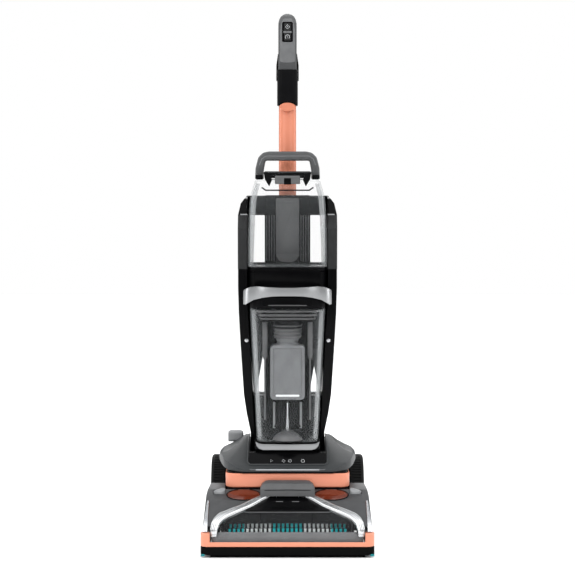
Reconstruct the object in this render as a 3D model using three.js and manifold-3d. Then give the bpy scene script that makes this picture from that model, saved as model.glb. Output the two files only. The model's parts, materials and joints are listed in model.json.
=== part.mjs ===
// Upright carpet cleaner: a wheeled foot with two brush rolls under a lift-off nozzle cover, and a
// reclining upright that carries a clean-water tank, a dirty-water tank and a looped handle.
// Millimetres. +X is the machine's left seen from the front, the front faces -Y, +Z is up, and the
// origin lies on the floor under the middle of the whole machine.
import * as THREE from "three";
import { mergeVertices } from "three/addons/utils/BufferGeometryUtils.js";
import Module from "manifold-3d";

const wasm = await Module();
wasm.setup();

// ---- Driving dimensions -------------------------------------------------------------------------
const HALF_WIDTH = 170;
const FRONT = -215;
const GAP = 0.4; // between pieces that meet
const SKIN = 3; // moulded wall
const TANK_WALL = 2.5;

const PIVOT = { y: 100, z: 100 }; // recline axis
const WHEEL = { radius: 75, y: 140, inner: 128, outer: 162, sides: 32, bore: 5.4 };
const AXLE_RADIUS = 5;
const ROLLER = { radius: 12, x: 60, y: -66, halfWidth: 6, pin: 2.5 };
const BRUSH = { radius: 24, core: 14, z: 26, frontY: -168, rearY: -117, end: 124, pulley: 10 };
const BRUSH_MOTOR = { y: -62, z: 48, radius: 18, pulley: 6, shaft: 3, end: -106 };
const BELT_SIDE = { from: -150, to: -134 };

// The sloping top of the nozzle, from the front edge back to the hood, as (y, z).
const DECK = [
  [-209, 24],
  [-205, 45],
  [-190, 62],
  [-160, 80],
  [-128, 98],
  [-92, 114],
  [-48, 120],
];
// The nozzle cover fans out from the latch to the front corners, as (x, y) on the +X side.
const FAN_OUTER = [
  [52, -92],
  [54, -118],
  [92, -145],
  [117, -158],
  [135.5, -168],
  [145, -179],
  [149.6, -191],
  [151.5, -204],
];
const FAN_INNER = [
  [31, -92],
  [35, -118],
  [70, -146],
  [96, -161],
  [116, -173],
  [127, -184],
  [134, -194],
  [138, -204],
];
const COVER_REAR = -94.5;

const HOOD_FRONT = -93;
const LENS = { x: 88, y: -110, halfX: 33, halfY: 17 };
const TAB = { x0: 125.5, x1: 148.5, y0: -106, y1: -93 };
const BAND = { front: -88, side: 125.5, rear: 30, low: 118, high: 146, corner: 20 };

// Outer edge of the upright body, as (x, z) on the +X side.
const BODY_EDGE = [
  [74, 214],
  [83.4, 262],
  [89, 303],
  [94, 386],
  [98.6, 468],
  [100, 520],
  [100, 668],
  [95, 690],
  [84, 705],
];
const SPINE = { half: 46, front: 45, rear: 95, low: 205, high: 706 };
const UPPER_WINDOW = { inner: 48, outer: 79, low: 564, high: 664 };
const LOWER_WINDOW = { inner: 48, outer: 65, low: 288, high: 400 };
const REAR_FACE = 122;
const NECK_HALF = 78;

const TUBE = { halfX: 18, halfY: 13, y: 75, low: 640, high: 905 };
const GRIP_FRONT = 54;

// ---- Making solids ------------------------------------------------------------------------------
function solidOf(geometry) {
  const loose = geometry.index ? geometry.toNonIndexed() : geometry;
  const bare = new THREE.BufferGeometry();
  bare.setAttribute("position", loose.getAttribute("position"));
  const merged = mergeVertices(bare, 1e-3);
  return new wasm.Manifold(
    new wasm.Mesh({
      numProp: 3,
      vertProperties: merged.attributes.position.array,
      triVerts: new Uint32Array(merged.index.array),
    }),
  );
}

function geometryOf(solid) {
  const { vertProperties, triVerts } = solid.getMesh();
  const geometry = new THREE.BufferGeometry();
  geometry.setAttribute("position", new THREE.BufferAttribute(vertProperties, 3));
  geometry.setIndex(new THREE.BufferAttribute(triVerts, 1));
  return geometry;
}

const join = (...solids) => solids.reduce((whole, solid) => whole.add(solid));
const cut = (solid, ...tools) => tools.reduce((left, tool) => left.subtract(tool), solid);

// The same solid on the other side of the middle plane.
function mirrored(solid) {
  const { vertProperties, triVerts } = solid.getMesh();
  const flipped = vertProperties.map((value, i) => (i % 3 === 0 ? -value : value));
  const turned = triVerts.map((_, i) => triVerts[i - (i % 3) + [0, 2, 1][i % 3]]);
  return new wasm.Manifold(
    new wasm.Mesh({ numProp: 3, vertProperties: flipped, triVerts: turned }),
  );
}
const bothSides = (solid) => solid.add(mirrored(solid));

function box(x0, x1, y0, y1, z0, z1) {
  const geometry = new THREE.BoxGeometry(x1 - x0, y1 - y0, z1 - z0);
  return solidOf(geometry.translate((x0 + x1) / 2, (y0 + y1) / 2, (z0 + z1) / 2));
}

const polygon = (points) => new THREE.Shape(points.map(([u, v]) => new THREE.Vector2(u, v)));

function ellipse(u, v, radiusU, radiusV = radiusU) {
  const shape = new THREE.Shape();
  shape.absellipse(u, v, radiusU, radiusV, 0, 2 * Math.PI, false, 0);
  return shape;
}

function roundedRect(u0, v0, u1, v1, r) {
  const shape = new THREE.Shape();
  shape.absarc(u1 - r, v1 - r, r, 0, Math.PI / 2, false);
  shape.absarc(u0 + r, v1 - r, r, Math.PI / 2, Math.PI, false);
  shape.absarc(u0 + r, v0 + r, r, Math.PI, 1.5 * Math.PI, false);
  shape.absarc(u1 - r, v0 + r, r, 1.5 * Math.PI, 2 * Math.PI, false);
  return shape;
}

// A regular outline whose flats touch the circle, with a flat at the bottom.
function flatSided(u, v, radius, sides) {
  const corner = radius / Math.cos(Math.PI / sides);
  const points = Array.from({ length: sides }, (_, i) => {
    const angle = ((2 * i + 1) * Math.PI) / sides - Math.PI / 2;
    return [u + corner * Math.cos(angle), v + corner * Math.sin(angle)];
  });
  return polygon(points);
}

// An outline pushed along an axis: drawn in (y, z) for x, in (x, z) for y and in (x, y) for z.
function along(axis, shape, from, to, curveSegments = 4) {
  const geometry = new THREE.ExtrudeGeometry(shape, {
    depth: to - from,
    bevelEnabled: false,
    curveSegments,
  });
  const [x, y, z] = ["x", "y", "z"].map((_, i) => new THREE.Vector3().setComponent(i, 1));
  const bases = { x: [y, z, x], y: [x, z, y.clone().negate()], z: [x, y, z] };
  geometry.applyMatrix4(new THREE.Matrix4().makeBasis(...bases[axis]));
  const shift = { x: [from, 0, 0], y: [0, to, 0], z: [0, 0, from] }[axis];
  return solidOf(geometry.translate(...shift));
}

const rod = (axis, u, v, radius, from, to, sides = 12) =>
  along(axis, flatSided(u, v, radius, sides), from, to);

// An open line moved sideways by a distance, to its left when positive.
function offsetLine(line, distance) {
  const normals = line.slice(1).map(([u, v], i) => {
    const [du, dv] = [u - line[i][0], v - line[i][1]];
    const length = Math.hypot(du, dv);
    return [-dv / length, du / length];
  });
  return line.map(([u, v], i) => {
    const [a, b] = [normals[Math.max(i - 1, 0)], normals[Math.min(i, normals.length - 1)]];
    const scale = distance / (1 + a[0] * b[0] + a[1] * b[1]);
    return [u + (a[0] + b[0]) * scale, v + (a[1] + b[1]) * scale];
  });
}

// A line with thickness: the outline between two offsets of it.
const strip = (line, left, right) =>
  polygon([...offsetLine(line, left), ...offsetLine(line, right).reverse()]);

// A rounded box whose size changes at each level, given as [z, half width, front y, rear y].
function tapered(levels, corner = 0.3) {
  const steps = levels.length - 1;
  const geometry = new THREE.ExtrudeGeometry(roundedRect(-1, -1, 1, 1, corner), {
    depth: steps,
    steps,
    bevelEnabled: false,
    curveSegments: 4,
  });
  const points = geometry.attributes.position;
  for (let i = 0; i < points.count; i++) {
    const [z, half, front, rear] = levels[Math.round(points.getZ(i))];
    const y = (front + rear) / 2 + (points.getY(i) * (rear - front)) / 2;
    points.setXYZ(i, points.getX(i) * half, y, z);
  }
  return solidOf(geometry);
}

// A turned piece about a line parallel to y, from (radius, distance) points on the axis at each end.
function turnedAlongY(profile, x, y, z, segments = 16) {
  const points = profile.map(([r, d]) => new THREE.Vector2(r, d));
  return solidOf(new THREE.LatheGeometry(points, segments).translate(x, y, z));
}

// ---- Materials ----------------------------------------------------------------------------------
const material = (color, roughness, metalness = 0, opacity = 1) =>
  new THREE.MeshStandardMaterial({
    color,
    roughness,
    metalness,
    opacity,
    transparent: opacity < 1,
  });

const copper = material("#e39a78", 0.35, 0.6);
const glossBlack = material("#101112", 0.15);
const satinBlack = material("#1b1c1d", 0.45);
const rubberBlack = material("#161616", 0.85);
const hoodGrey = material("#5c5f61", 0.45);
const gripGrey = material("#6b6d6e", 0.5);
const paleGrey = material("#b4b6b7", 0.45);
const silver = material("#c9cccf", 0.25, 0.8);
const steel = material("#a9adb0", 0.3, 1);
const clear = material("#dfe6e8", 0.08, 0, 0.3);
const smoke = material("#3c3f42", 0.1, 0, 0.5);
const amber = material("#6e2d16", 0.12, 0, 0.8);
const bristle = material("#0f9aa0", 0.7);
const floatGrey = material("#828485", 0.5);
const boardGreen = material("#1f5a38", 0.6);

const machine = new THREE.Group();
const foot = new THREE.Group();
const nozzle = new THREE.Group();
const upright = new THREE.Group();
const cleanTank = new THREE.Group();
const dirtyTank = new THREE.Group();
upright.add(cleanTank, dirtyTank);
foot.add(nozzle);
machine.add(foot, upright);

function place(group, name, solid, finish, position = [0, 0, 0]) {
  const mesh = new THREE.Mesh(geometryOf(solid), finish);
  mesh.name = name;
  mesh.position.set(...position);
  group.add(mesh);
}

// A left and a right copy of a piece made for the +X side.
function placePair(group, name, solid, finish) {
  place(group, name + "_right", solid, finish);
  place(group, name + "_left", mirrored(solid), finish);
}

const mirrorLine = (line) => [...line, ...line.map(([x, v]) => [-x, v]).reverse()];

// ---- Foot: chassis ------------------------------------------------------------------------------
const WALL_FRONT = -84.7;
const SIDE = 120;

const HOOD_PLAN = [
  [95, HOOD_FRONT],
  [128, -60],
  [141, 0],
  [141, 50],
  [120, 85],
];
const FLANGE = { low: 146.4, high: 149.6, innerX: 112, innerY: -55 };
const FLANGE_PLAN = [
  [92, -91],
  [118, -60],
  [124, 0],
  [124, 50],
  [112, 84],
];

function footChassis() {
  const outside = along("z", roundedRect(-SIDE, WALL_FRONT, SIDE, 200, 16), 10, 149);
  const inside = along("z", roundedRect(3 - SIDE, WALL_FRONT + 3, SIDE - 3, 197, 13), 14, 160);
  const sideOutline = polygon([
    [WALL_FRONT, 10],
    [165, 10],
    [165, 60],
    [150, 95],
    [84, 95],
    [84, 149],
    [WALL_FRONT, 149],
  ]);
  const tub = cut(outside, inside).intersect(along("x", sideOutline, -SIDE, SIDE));
  const front = box(-131, 131, WALL_FRONT, WALL_FRONT + 3, 8, 58);
  const rear = box(-SIDE, SIDE, 162, 165, 10, 60);
  const brushEnd = polygon([
    [-194.2, 8],
    [WALL_FRONT + 3, 8],
    [WALL_FRONT + 3, 58],
    [-186, 58],
    [-194.2, 46],
  ]);
  const brushEnds = bothSides(along("x", brushEnd, 128, 131));
  const flange = cut(
    along("z", polygon(mirrorLine(FLANGE_PLAN)), FLANGE.low, FLANGE.high),
    box(-FLANGE.innerX, FLANGE.innerX, FLANGE.innerY, 200, 140, 160),
  );
  const yoke = bothSides(box(84, 92, 78, 122, 13, 122));
  const cheeks = bothSides(
    join(...[-1, 1].map((s) => {
      const x = ROLLER.x + s * (ROLLER.halfWidth + 2);
      return box(x - 1.5, x + 1.5, ROLLER.y - 6, ROLLER.y + 6, 6, 20);
    })),
  );
  const saddle = box(-104, -84, BRUSH_MOTOR.y - 10, BRUSH_MOTOR.y + 10, 13, 29.6);
  const pedalPost = box(-SIDE, -112, 86, 100, 90, 158);
  const shell = join(tub, front, rear, brushEnds, flange, yoke, cheeks, saddle, pedalPost);
  const rollerWells = bothSides(box(53.5, 66.5, ROLLER.y - 14, ROLLER.y + 14, 5, 15));
  return cut(
    shell,
    rollerWells,
    rod("x", PIVOT.y, PIVOT.z, 9.4, -100, 100, 16),
    rod("x", WHEEL.y, WHEEL.radius, WHEEL.bore, -125, 125),
    rod("x", ROLLER.y, ROLLER.radius, ROLLER.pin + 0.4, -75, 75, 8),
    rod("x", BRUSH.frontY, BRUSH.z, 5.4, -135, 135),
    rod("x", BRUSH.rearY, BRUSH.z, 5.4, -135, 135),
    rod("x", BRUSH_MOTOR.y, BRUSH_MOTOR.z, 6, -125, -115),
    rod("x", 92, 150, 3.1, -125, -110, 8),
    box(-22.9, 22.9, -90, -78, 81.6, 106.4),
  );
}

// ---- Foot: covers -------------------------------------------------------------------------------
const HOOD_TOP = [
  [HOOD_FRONT, 158],
  [-70, 165],
  [0, 197],
  [30, 203.5],
  [85, 202],
];
// Right-hand outline of the hood from the front, from its lower edge up to its top, as (x, z).
const HOOD_SIDE = [
  [120, 150],
  [134, 156],
  [140, 162],
  [141.5, 168],
  [140, 173.5],
  [133, 179],
  [120, 182.5],
  [105, 190],
  [94, 198.5],
  [84, 203.5],
];
const HOOD_LOW = 150;
const HOOD_OPENING = 79;

function hoodBlock(inset) {
  const plan = offsetLine(mirrorLine(HOOD_PLAN), inset);
  const front = HOOD_FRONT + inset;
  const top = HOOD_TOP.map(([y, z]) => [Math.max(y, front), z - inset]);
  const side = polygon([...top, [85, HOOD_LOW - inset], [front, HOOD_LOW - inset]]);
  const edge = offsetLine(HOOD_SIDE, inset);
  const shoulder = mirrorLine([[edge[0][0], HOOD_LOW - inset], ...edge]);
  return along("z", polygon(plan), HOOD_LOW - inset, 220)
    .intersect(along("x", side, -150, 150))
    .intersect(along("y", polygon(shoulder), -100, 85 - inset));
}

function footHood() {
  const rim = box(-HOOD_OPENING - SKIN, HOOD_OPENING + SKIN, -79, 90, 140, 220);
  const opening = box(-HOOD_OPENING, HOOD_OPENING, -76, 90, 140, 220);
  return cut(hoodBlock(0), cut(hoodBlock(SKIN), rim), opening);
}

// Black tub in the hood's opening: a sloping face in front, a floor and two side walls.
function hoodPanel() {
  const half = 78.5;
  const outline = polygon([
    [-75.5, HOOD_LOW],
    [-75.5, 160],
    [-54, 184],
    [-50, 184],
    [-50, 176],
    [-34, 184],
    [0, 202],
    [45, 202],
    [45, HOOD_LOW],
  ]);
  const middle = box(-75.5, 75.5, -49.5, 60, 158, 210);
  const under = box(-74, 74, -49, 42, 140, 155);
  const faceBack = polygon([
    [-72.5, 140],
    [-72.5, 159],
    [-53, 180.5],
    [-53, 140],
  ]);
  const behindFace = along("x", faceBack, -74, 74);
  return cut(along("x", outline, -half, half), middle, under, behindFace);
}

function copperBand() {
  const { front, side, rear, low, high, corner } = BAND;
  const ring = (inset) =>
    along("z", roundedRect(-side + inset, front + inset, side - inset, 90, corner - inset), low, high);
  return cut(ring(0), ring(SKIN), box(-200, 200, rear, 100, 100, 160));
}

function sideHousing() {
  const fan = offsetLine(FAN_OUTER, GAP).reverse();
  const plan = polygon([
    ...fan,
    [126.5, -89],
    [126.5, -48],
    [156, -48],
    [163, -110],
    [166, -204],
  ]);
  const side = polygon([
    [-202, 48.4],
    ...DECK.slice(2),
    [-48, 22.3],
    [-191.6, 22.3],
    [-191.6, 48.4],
  ]);
  const hollowPlan = polygon([
    [0, -92],
    [129.5, -92],
    [129.5, -51],
    [153, -51],
    [160, -110],
    [163, -300],
    [0, -300],
  ]);
  const upper = DECK.slice(2, -1).map(([y, z]) => [y, z - SKIN]);
  const hollowSide = polygon([[-300, 45], ...upper, [-40, 117.5], [-40, 0], [-300, 0]]);
  const hollow = along("z", hollowPlan, 0, 130).intersect(along("x", hollowSide, 0, 170));
  const block = along("z", plan, 20, 130).intersect(along("x", side, 0, 170));
  const lensEdge = ellipse(LENS.x, LENS.y, LENS.halfX + GAP, LENS.halfY + GAP);
  const lensHole = along("z", lensEdge, 80, 130, 8);
  return cut(
    block,
    hollow,
    lensHole,
    box(TAB.x0 - 0.5, TAB.x1 + 0.5, TAB.y0 - 1, TAB.y1 + 0.5, 90, 130),
    box(40, 126, -93, -88, 20, 86),
    box(120, 130, -93, -40, 20, 86),
  );
}

function lens() {
  const sheet = along("x", strip(DECK, 1, -SKIN), 0, 170);
  return sheet.intersect(along("z", ellipse(LENS.x, LENS.y, LENS.halfX, LENS.halfY), 80, 130, 8));
}

function releaseTab() {
  const outline = polygon([
    [TAB.y0, 98],
    [TAB.y1, 98],
    [TAB.y1, 118],
    [TAB.y0 + 4, 116],
    [TAB.y0, 110],
  ]);
  return along("x", outline, TAB.x0, TAB.x1);
}

// ---- Foot: front edge ---------------------------------------------------------------------------
const RAIL_INNER = 152;

function copperFrame() {
  const plan = roundedRect(-HALF_WIDTH, FRONT, HALF_WIDTH, -100, 14);
  const block = along("z", plan, 22, 48);
  return cut(
    block,
    box(-RAIL_INNER, RAIL_INNER, FRONT + 5, 0, 0, 60),
    box(-RAIL_INNER, RAIL_INNER, FRONT - 1, 0, 31, 60),
    box(-200, 200, -192, 0, 0, 60),
  );
}

function frontBumper() {
  const plan = roundedRect(-HALF_WIDTH, FRONT, HALF_WIDTH, 0, 14);
  return cut(
    along("z", plan, 6, 21.7),
    box(-155, 155, -207.4, 10, 0, 30),
    box(-200, 200, -60, 10, 0, 30),
  );
}

function suctionLip() {
  return cut(
    box(-151.6, 151.6, -207, -194.5, 0, 22),
    box(-145, 145, -203.5, -198.5, -1, 30),
  );
}

// ---- Foot: inside -------------------------------------------------------------------------------
const circlePoints = (y, z, radius, sides) =>
  Array.from({ length: sides }, (_, i) => {
    const angle = (i * 2 * Math.PI) / sides;
    return [y + radius * Math.cos(angle), z + radius * Math.sin(angle)];
  });

// The smallest outline round a set of points (monotone chain).
function hull(points) {
  const sorted = [...points].sort((a, b) => a[0] - b[0] || a[1] - b[1]);
  const turn = (o, a, b) => (a[0] - o[0]) * (b[1] - o[1]) - (a[1] - o[1]) * (b[0] - o[0]);
  const half = (list) => {
    const chain = [];
    for (const point of list) {
      while (chain.length > 1 && turn(chain.at(-2), chain.at(-1), point) <= 0) chain.pop();
      chain.push(point);
    }
    return chain.slice(0, -1);
  };
  return [...half(sorted), ...half([...sorted].reverse())];
}

function brushBelt() {
  const loop = (grow) =>
    polygon(
      hull([
        ...circlePoints(BRUSH_MOTOR.y, BRUSH_MOTOR.z, BRUSH_MOTOR.pulley + grow, 20),
        ...circlePoints(BRUSH.frontY, BRUSH.z, BRUSH.pulley + grow, 20),
        ...circlePoints(BRUSH.rearY, BRUSH.z, BRUSH.pulley + grow, 20),
      ]),
    );
  const { from, to } = BELT_SIDE;
  return cut(along("x", loop(2.6), from + 3, to - 3), along("x", loop(1.1), from, to));
}

function brushRoll() {
  const rows = 5;
  const outline = [];
  const ridge = [
    [BRUSH.core, -20],
    [BRUSH.radius, -9],
    [BRUSH.radius, 9],
    [BRUSH.core, 20],
  ];
  for (let row = 0; row < rows; row++)
    for (const [radius, degrees] of ridge) {
      const angle = ((row * 360) / rows + degrees) * THREE.MathUtils.DEG2RAD;
      outline.push([radius * Math.cos(angle), radius * Math.sin(angle)]);
    }
  const half = 117;
  const steps = 10;
  const twist = 1.6 / half;
  const geometry = new THREE.ExtrudeGeometry(polygon(outline), {
    depth: 2 * half,
    steps,
    bevelEnabled: false,
  });
  const points = geometry.attributes.position;
  for (let i = 0; i < points.count; i++) {
    const turn = new THREE.Vector2(points.getX(i), points.getY(i));
    turn.rotateAround(new THREE.Vector2(), Math.abs(points.getZ(i) - half) * twist);
    points.setXYZ(i, points.getZ(i) - half, turn.x, turn.y);
  }
  return join(
    solidOf(geometry),
    rod("x", 0, 0, BRUSH.core + 1, -BRUSH.end, BRUSH.end, 16),
    rod("x", 0, 0, AXLE_RADIUS, -149.5, 131),
    rod("x", 0, 0, BRUSH.pulley, BELT_SIDE.from, BELT_SIDE.to, 16),
  );
}

function brushMotor() {
  const { y, z, radius, end } = BRUSH_MOTOR;
  return rod("x", y, z, radius, end, -50, 20);
}

function motorPulley() {
  return join(
    rod("x", 0, 0, BRUSH_MOTOR.pulley, BELT_SIDE.from, BELT_SIDE.to, 16),
    rod("x", 0, 0, BRUSH_MOTOR.shaft, BELT_SIDE.to - 1, BRUSH_MOTOR.end - 0.6, 8),
  );
}

function footDuct() {
  const lower = [
    [-92, 82],
    [-60, 82],
    [-40, 112],
    [64, 112],
  ];
  const upper = [
    [64, 140],
    [-55, 140],
    [-78, 106],
    [-92, 106],
  ];
  const bore = [...offsetLine(lower, TANK_WALL), ...offsetLine(upper, TANK_WALL)];
  const past = bore.map(([y, z]) => [y === -92 ? -95 : y === 64 ? 67 : y, z]);
  return cut(
    along("x", polygon([...lower, ...upper]), -22, 22),
    along("x", polygon(past), -22 + TANK_WALL, 22 - TANK_WALL),
  );
}

function sprayBar() {
  const tips = [-84, -28, 28, 84].map((x) => box(x - 3, x + 3, -92.5, -87.5, 60, 68));
  return join(rod("x", -90, 70, 4, -110, 110, 8), ...tips);
}

function suctionMotor() {
  return join(rod("z", 0, 15, 48, 14.4, 76, 24), rod("z", 0, 15, 30, 76, 84, 16));
}

function impeller() {
  const blades = Array.from({ length: 6 }, (_, i) => {
    const blade = new THREE.BoxGeometry(3, 34, 12).translate(0, 24, 9);
    return solidOf(blade.rotateZ((i * Math.PI) / 3));
  });
  return join(
    rod("z", 0, 0, 42, 0, 3.5, 20),
    rod("z", 0, 0, 9, -3.5, 15, 12),
    ...blades,
  );
}

function waterPump() {
  return join(box(74, 112, -78, -38, 14.4, 50), rod("x", -58, 50, 14, 80, 106, 12));
}

function steamHeater() {
  return join(box(62, 110, -20, 50, 14.4, 58), rod("y", 86, 58, 12, -14, 44, 12));
}

function wheel() {
  const { radius, sides, bore, inner, outer } = WHEEL;
  const width = outer - inner;
  const dish = rod("x", 0, 0, 52, width - 8, width + 1, 24);
  const hub = rod("x", 0, 0, 16, 0, width, 16);
  return cut(
    join(cut(rod("x", 0, 0, radius, 0, width, sides), dish), hub),
    rod("x", 0, 0, bore, -1, width + 1),
  );
}

function roller() {
  const { radius, halfWidth, pin } = ROLLER;
  return join(
    rod("x", 0, 0, radius, -halfWidth, halfWidth, 16),
    rod("x", 0, 0, pin, -halfWidth - 3.3, halfWidth + 3.3, 8),
  );
}

function reclinePedal() {
  const arm = polygon([
    [87, 150],
    [97, 150],
    [101, 186],
    [90, 186],
  ]);
  const pad = polygon([
    [88, 187],
    [92, 184],
    [132, 186],
    [140, 192],
    [136, 199],
    [104, 207],
    [90, 203],
  ]);
  return join(
    along("x", arm, -111.5, -96),
    along("x", pad, -126, -94),
    rod("x", 92, 150, AXLE_RADIUS, -111.5, -95, 10),
    rod("x", 92, 150, 2.7, -118.5, -111, 8),
  );
}

function buildFoot() {
  place(foot, "foot_chassis", footChassis(), satinBlack);
  place(foot, "foot_hood", footHood(), hoodGrey);
  place(foot, "hood_panel", hoodPanel(), glossBlack);
  place(foot, "copper_band", copperBand(), copper);
  placePair(foot, "side_housing", sideHousing(), hoodGrey);
  placePair(foot, "lens", lens(), amber);
  placePair(foot, "release_tab", releaseTab(), paleGrey);
  place(foot, "copper_frame", copperFrame(), copper);
  place(foot, "front_bumper", frontBumper(), rubberBlack);
  place(foot, "suction_lip", suctionLip(), rubberBlack);
  place(foot, "brush_motor", brushMotor(), steel);
  place(foot, "brush_belt", brushBelt(), rubberBlack);
  place(foot, "motor_pulley", motorPulley(), steel, [0, BRUSH_MOTOR.y, BRUSH_MOTOR.z]);
  place(foot, "front_brush_roll", brushRoll(), bristle, [0, BRUSH.frontY, BRUSH.z]);
  place(foot, "rear_brush_roll", brushRoll(), bristle, [0, BRUSH.rearY, BRUSH.z]);
  place(foot, "foot_duct", footDuct(), satinBlack);
  place(foot, "spray_bar", sprayBar(), satinBlack);
  place(foot, "suction_motor", suctionMotor(), steel);
  place(foot, "impeller", impeller(), paleGrey, [0, 15, 88]);
  place(foot, "water_pump", waterPump(), satinBlack);
  place(foot, "steam_heater", steamHeater(), steel);
  place(foot, "rear_axle", rod("x", WHEEL.y, WHEEL.radius, AXLE_RADIUS, -161, 161), steel);
  place(foot, "wheel_right", wheel(), satinBlack, [WHEEL.inner, WHEEL.y, WHEEL.radius]);
  place(foot, "wheel_left", mirrored(wheel()), satinBlack, [-WHEEL.inner, WHEEL.y, WHEEL.radius]);
  for (const [side, x] of [["right", ROLLER.x], ["left", -ROLLER.x]])
    place(foot, "front_roller_" + side, roller(), paleGrey, [x, ROLLER.y, ROLLER.radius]);
  place(foot, "recline_pedal", reclinePedal(), paleGrey);
}

// ---- Nozzle cover -------------------------------------------------------------------------------
function nozzleWindow() {
  const sheet = along("x", strip(DECK, 0, -SKIN), -151, 151);
  const between = along("z", polygon(mirrorLine(offsetLine(FAN_INNER, -GAP))), 0, 130);
  return cut(
    sheet,
    cut(box(-200, 200, -203.6, 0, 0, 140), between),
    box(-200, 200, COVER_REAR, 0, 0, 140),
  );
}

function nozzleArm() {
  const slab = along("x", strip(DECK, 5, -SKIN), 0, 170);
  const plan = along("z", polygon([...FAN_OUTER, ...[...FAN_INNER].reverse()]), 0, 150);
  return cut(
    slab.intersect(plan),
    box(0, 200, -230, -203.2, 0, 140),
    box(0, 200, COVER_REAR, 0, 0, 140),
  );
}

function nozzleLatch() {
  const [low, high] = offsetLine(DECK.slice(4, 6), 5.6);
  const top = [
    [-95, high[1] - 1],
    [-95, 134],
    [-104, 134],
    [-116, 130],
    [-124, 120],
    [-124, low[1] + 1.9],
  ];
  const bridge = along("x", polygon(top), -54.5, 54.5);
  const slopes = along("x", strip(DECK.slice(4, 6), 5.5, -20), -60, 60);
  const tongue = along("x", strip(DECK.slice(4, 6), 8, 0.5), -30, 30);
  const trimmed = tongue.intersect(box(-30, 30, -120, -98, 90, 134));
  return join(cut(bridge, slopes), trimmed);
}

function buildNozzle() {
  place(nozzle, "nozzle_window", nozzleWindow(), smoke);
  placePair(nozzle, "nozzle_arm", nozzleArm(), silver);
  place(nozzle, "nozzle_latch", nozzleLatch(), hoodGrey);
}

// ---- Upright: body ------------------------------------------------------------------------------
function bodyFrame() {
  const { half, front, rear, low, high } = SPINE;
  const neckOutline = polygon([
    [78, PIVOT.z],
    [78, 213.6],
    [95, 213.6],
    [95, 150],
    [121, 132],
    [122, PIVOT.z],
  ]);
  const neck = join(
    along("x", neckOutline, -NECK_HALF, NECK_HALF),
    rod("x", PIVOT.y, PIVOT.z, 22, -NECK_HALF, NECK_HALF, 20),
    rod("x", PIVOT.y, PIVOT.z, 9, -91, 91, 16),
  );
  const column = along("z", ellipse(0, front + 1, 24, 16), low, high, 12);
  const fit = ellipse(0, TUBE.y, TUBE.halfX + GAP, TUBE.halfY + GAP);
  const socket = along("z", fit, TUBE.low - GAP, 720, 12);
  const bars = join(
    box(-64, 64, 60, rear, low, 286),
    box(-80.5, 80.5, 50, rear, 668, 704),
    box(-74, 74, 60, rear, 404, 480),
    box(-78, 78, 50, rear, 480, 556),
  );
  return cut(join(neck, column, box(-half, half, front, rear, low, high), bars), socket);
}

function dockShelf() {
  const outline = polygon([
    [-48.5, 165],
    [77.6, 165],
    [77.6, 204.5],
    [-54, 204.5],
    [-58, 200],
    [-58, 190],
    [-54, 187],
    [-48.5, 187],
  ]);
  const hollow = box(-63, 63, -45, 90, 168, 190);
  return cut(along("x", outline, -66, 66), hollow);
}

function midHousing() {
  const shell = along("z", roundedRect(-79, -60, 79, 80, 16), 503.2, 552);
  const inside = along("z", roundedRect(-76, -57, 76, 77, 14), 506.2, 549);
  const posts = [-40, 40].map((x) => rod("z", x, -30, 4, 505, 519.6, 8));
  return cut(join(cut(shell, inside), ...posts), box(-100, 100, 29.5, 100, 400, 600));
}

function facePanel() {
  return along("y", roundedRect(-68, 525, 68, 557, 5), -64, -60.4);
}

function controlBoard() {
  return join(box(-50, 50, -42, 20, 520, 522), box(-20, 20, -10, 10, 521, 534));
}

const POD_INNER = [
  [66, 214],
  [79.6, 480],
  [81.6, 540],
];
const POD_FRONT = [
  [-30, 214],
  [-55, 300],
  [-62, 420],
  [-62, 640],
  [-30, 700],
  [20, 709],
];

function sidePod() {
  const block = (inset, rear) => {
    const edge = inset > 0 ? BODY_EDGE.slice(0, -1) : BODY_EDGE;
    const inside = [...POD_INNER, [82, edge.at(-1)[1]]];
    const outline = [...offsetLine(edge, inset), ...offsetLine(inside, -inset).reverse()];
    const inner = offsetLine(POD_FRONT, -inset).map(([y, z]) => [y, Math.max(z, 214 + inset)]);
    const side = polygon([...inner, [rear, 705 - inset], [rear, 214 + inset]]);
    return along("y", polygon(outline), -100, rear).intersect(along("x", side, 0, 150));
  };
  return cut(block(0, 95), block(TANK_WALL, 96));
}

function rearCover() {
  const outline = mirrorLine([[66, 152], [66, 200], ...BODY_EDGE]);
  const front = SPINE.rear + 0.5;
  const outer = along("y", polygon(outline), front, REAR_FACE);
  const hollow = along("y", polygon(offsetLine(outline, SKIN)), front - 1, REAR_FACE - SKIN);
  const windows = [UPPER_WINDOW, LOWER_WINDOW];
  const windowBox = ({ inner, outer: edge, low, high }, grow) => {
    const past = grow ? 0 : 2;
    const [x0, x1] = [inner - grow, edge + grow];
    return bothSides(box(x0, x1, front - past, REAR_FACE + past, low - grow, high + grow));
  };
  const rims = windows.map((window) => windowBox(window, TANK_WALL));
  const holes = windows.map((window) => windowBox(window, 0));
  const hook = join(
    rod("y", 0, 357, 8, REAR_FACE - 1, 148, 12),
    along("y", roundedRect(-14, 335, 14, 365, 6), 146, 151),
  );
  const hosePort = rod("y", 45, 249, 14, 110, 130, 16);
  return cut(join(cut(outer, hollow), ...rims, hook), ...holes, hosePort);
}

function cordHook() {
  return join(
    rod("y", 0, 560, 8, REAR_FACE + GAP, 147, 12),
    along("y", roundedRect(-14, 552, 14, 605, 6), 146, 151),
  );
}

function cordGland() {
  const profile = [
    [0, 0],
    [9, 0],
    [9, 5],
    [7, 7],
    [5, 27],
    [0, 27],
  ];
  return turnedAlongY(profile, -50, REAR_FACE + GAP, 190);
}

function hosePortCap() {
  return join(
    along("y", roundedRect(27, 229, 63, 268, 8), REAR_FACE + GAP, 128),
    rod("x", 125.2, 269, 2.6, 32, 58, 8),
  );
}

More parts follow.
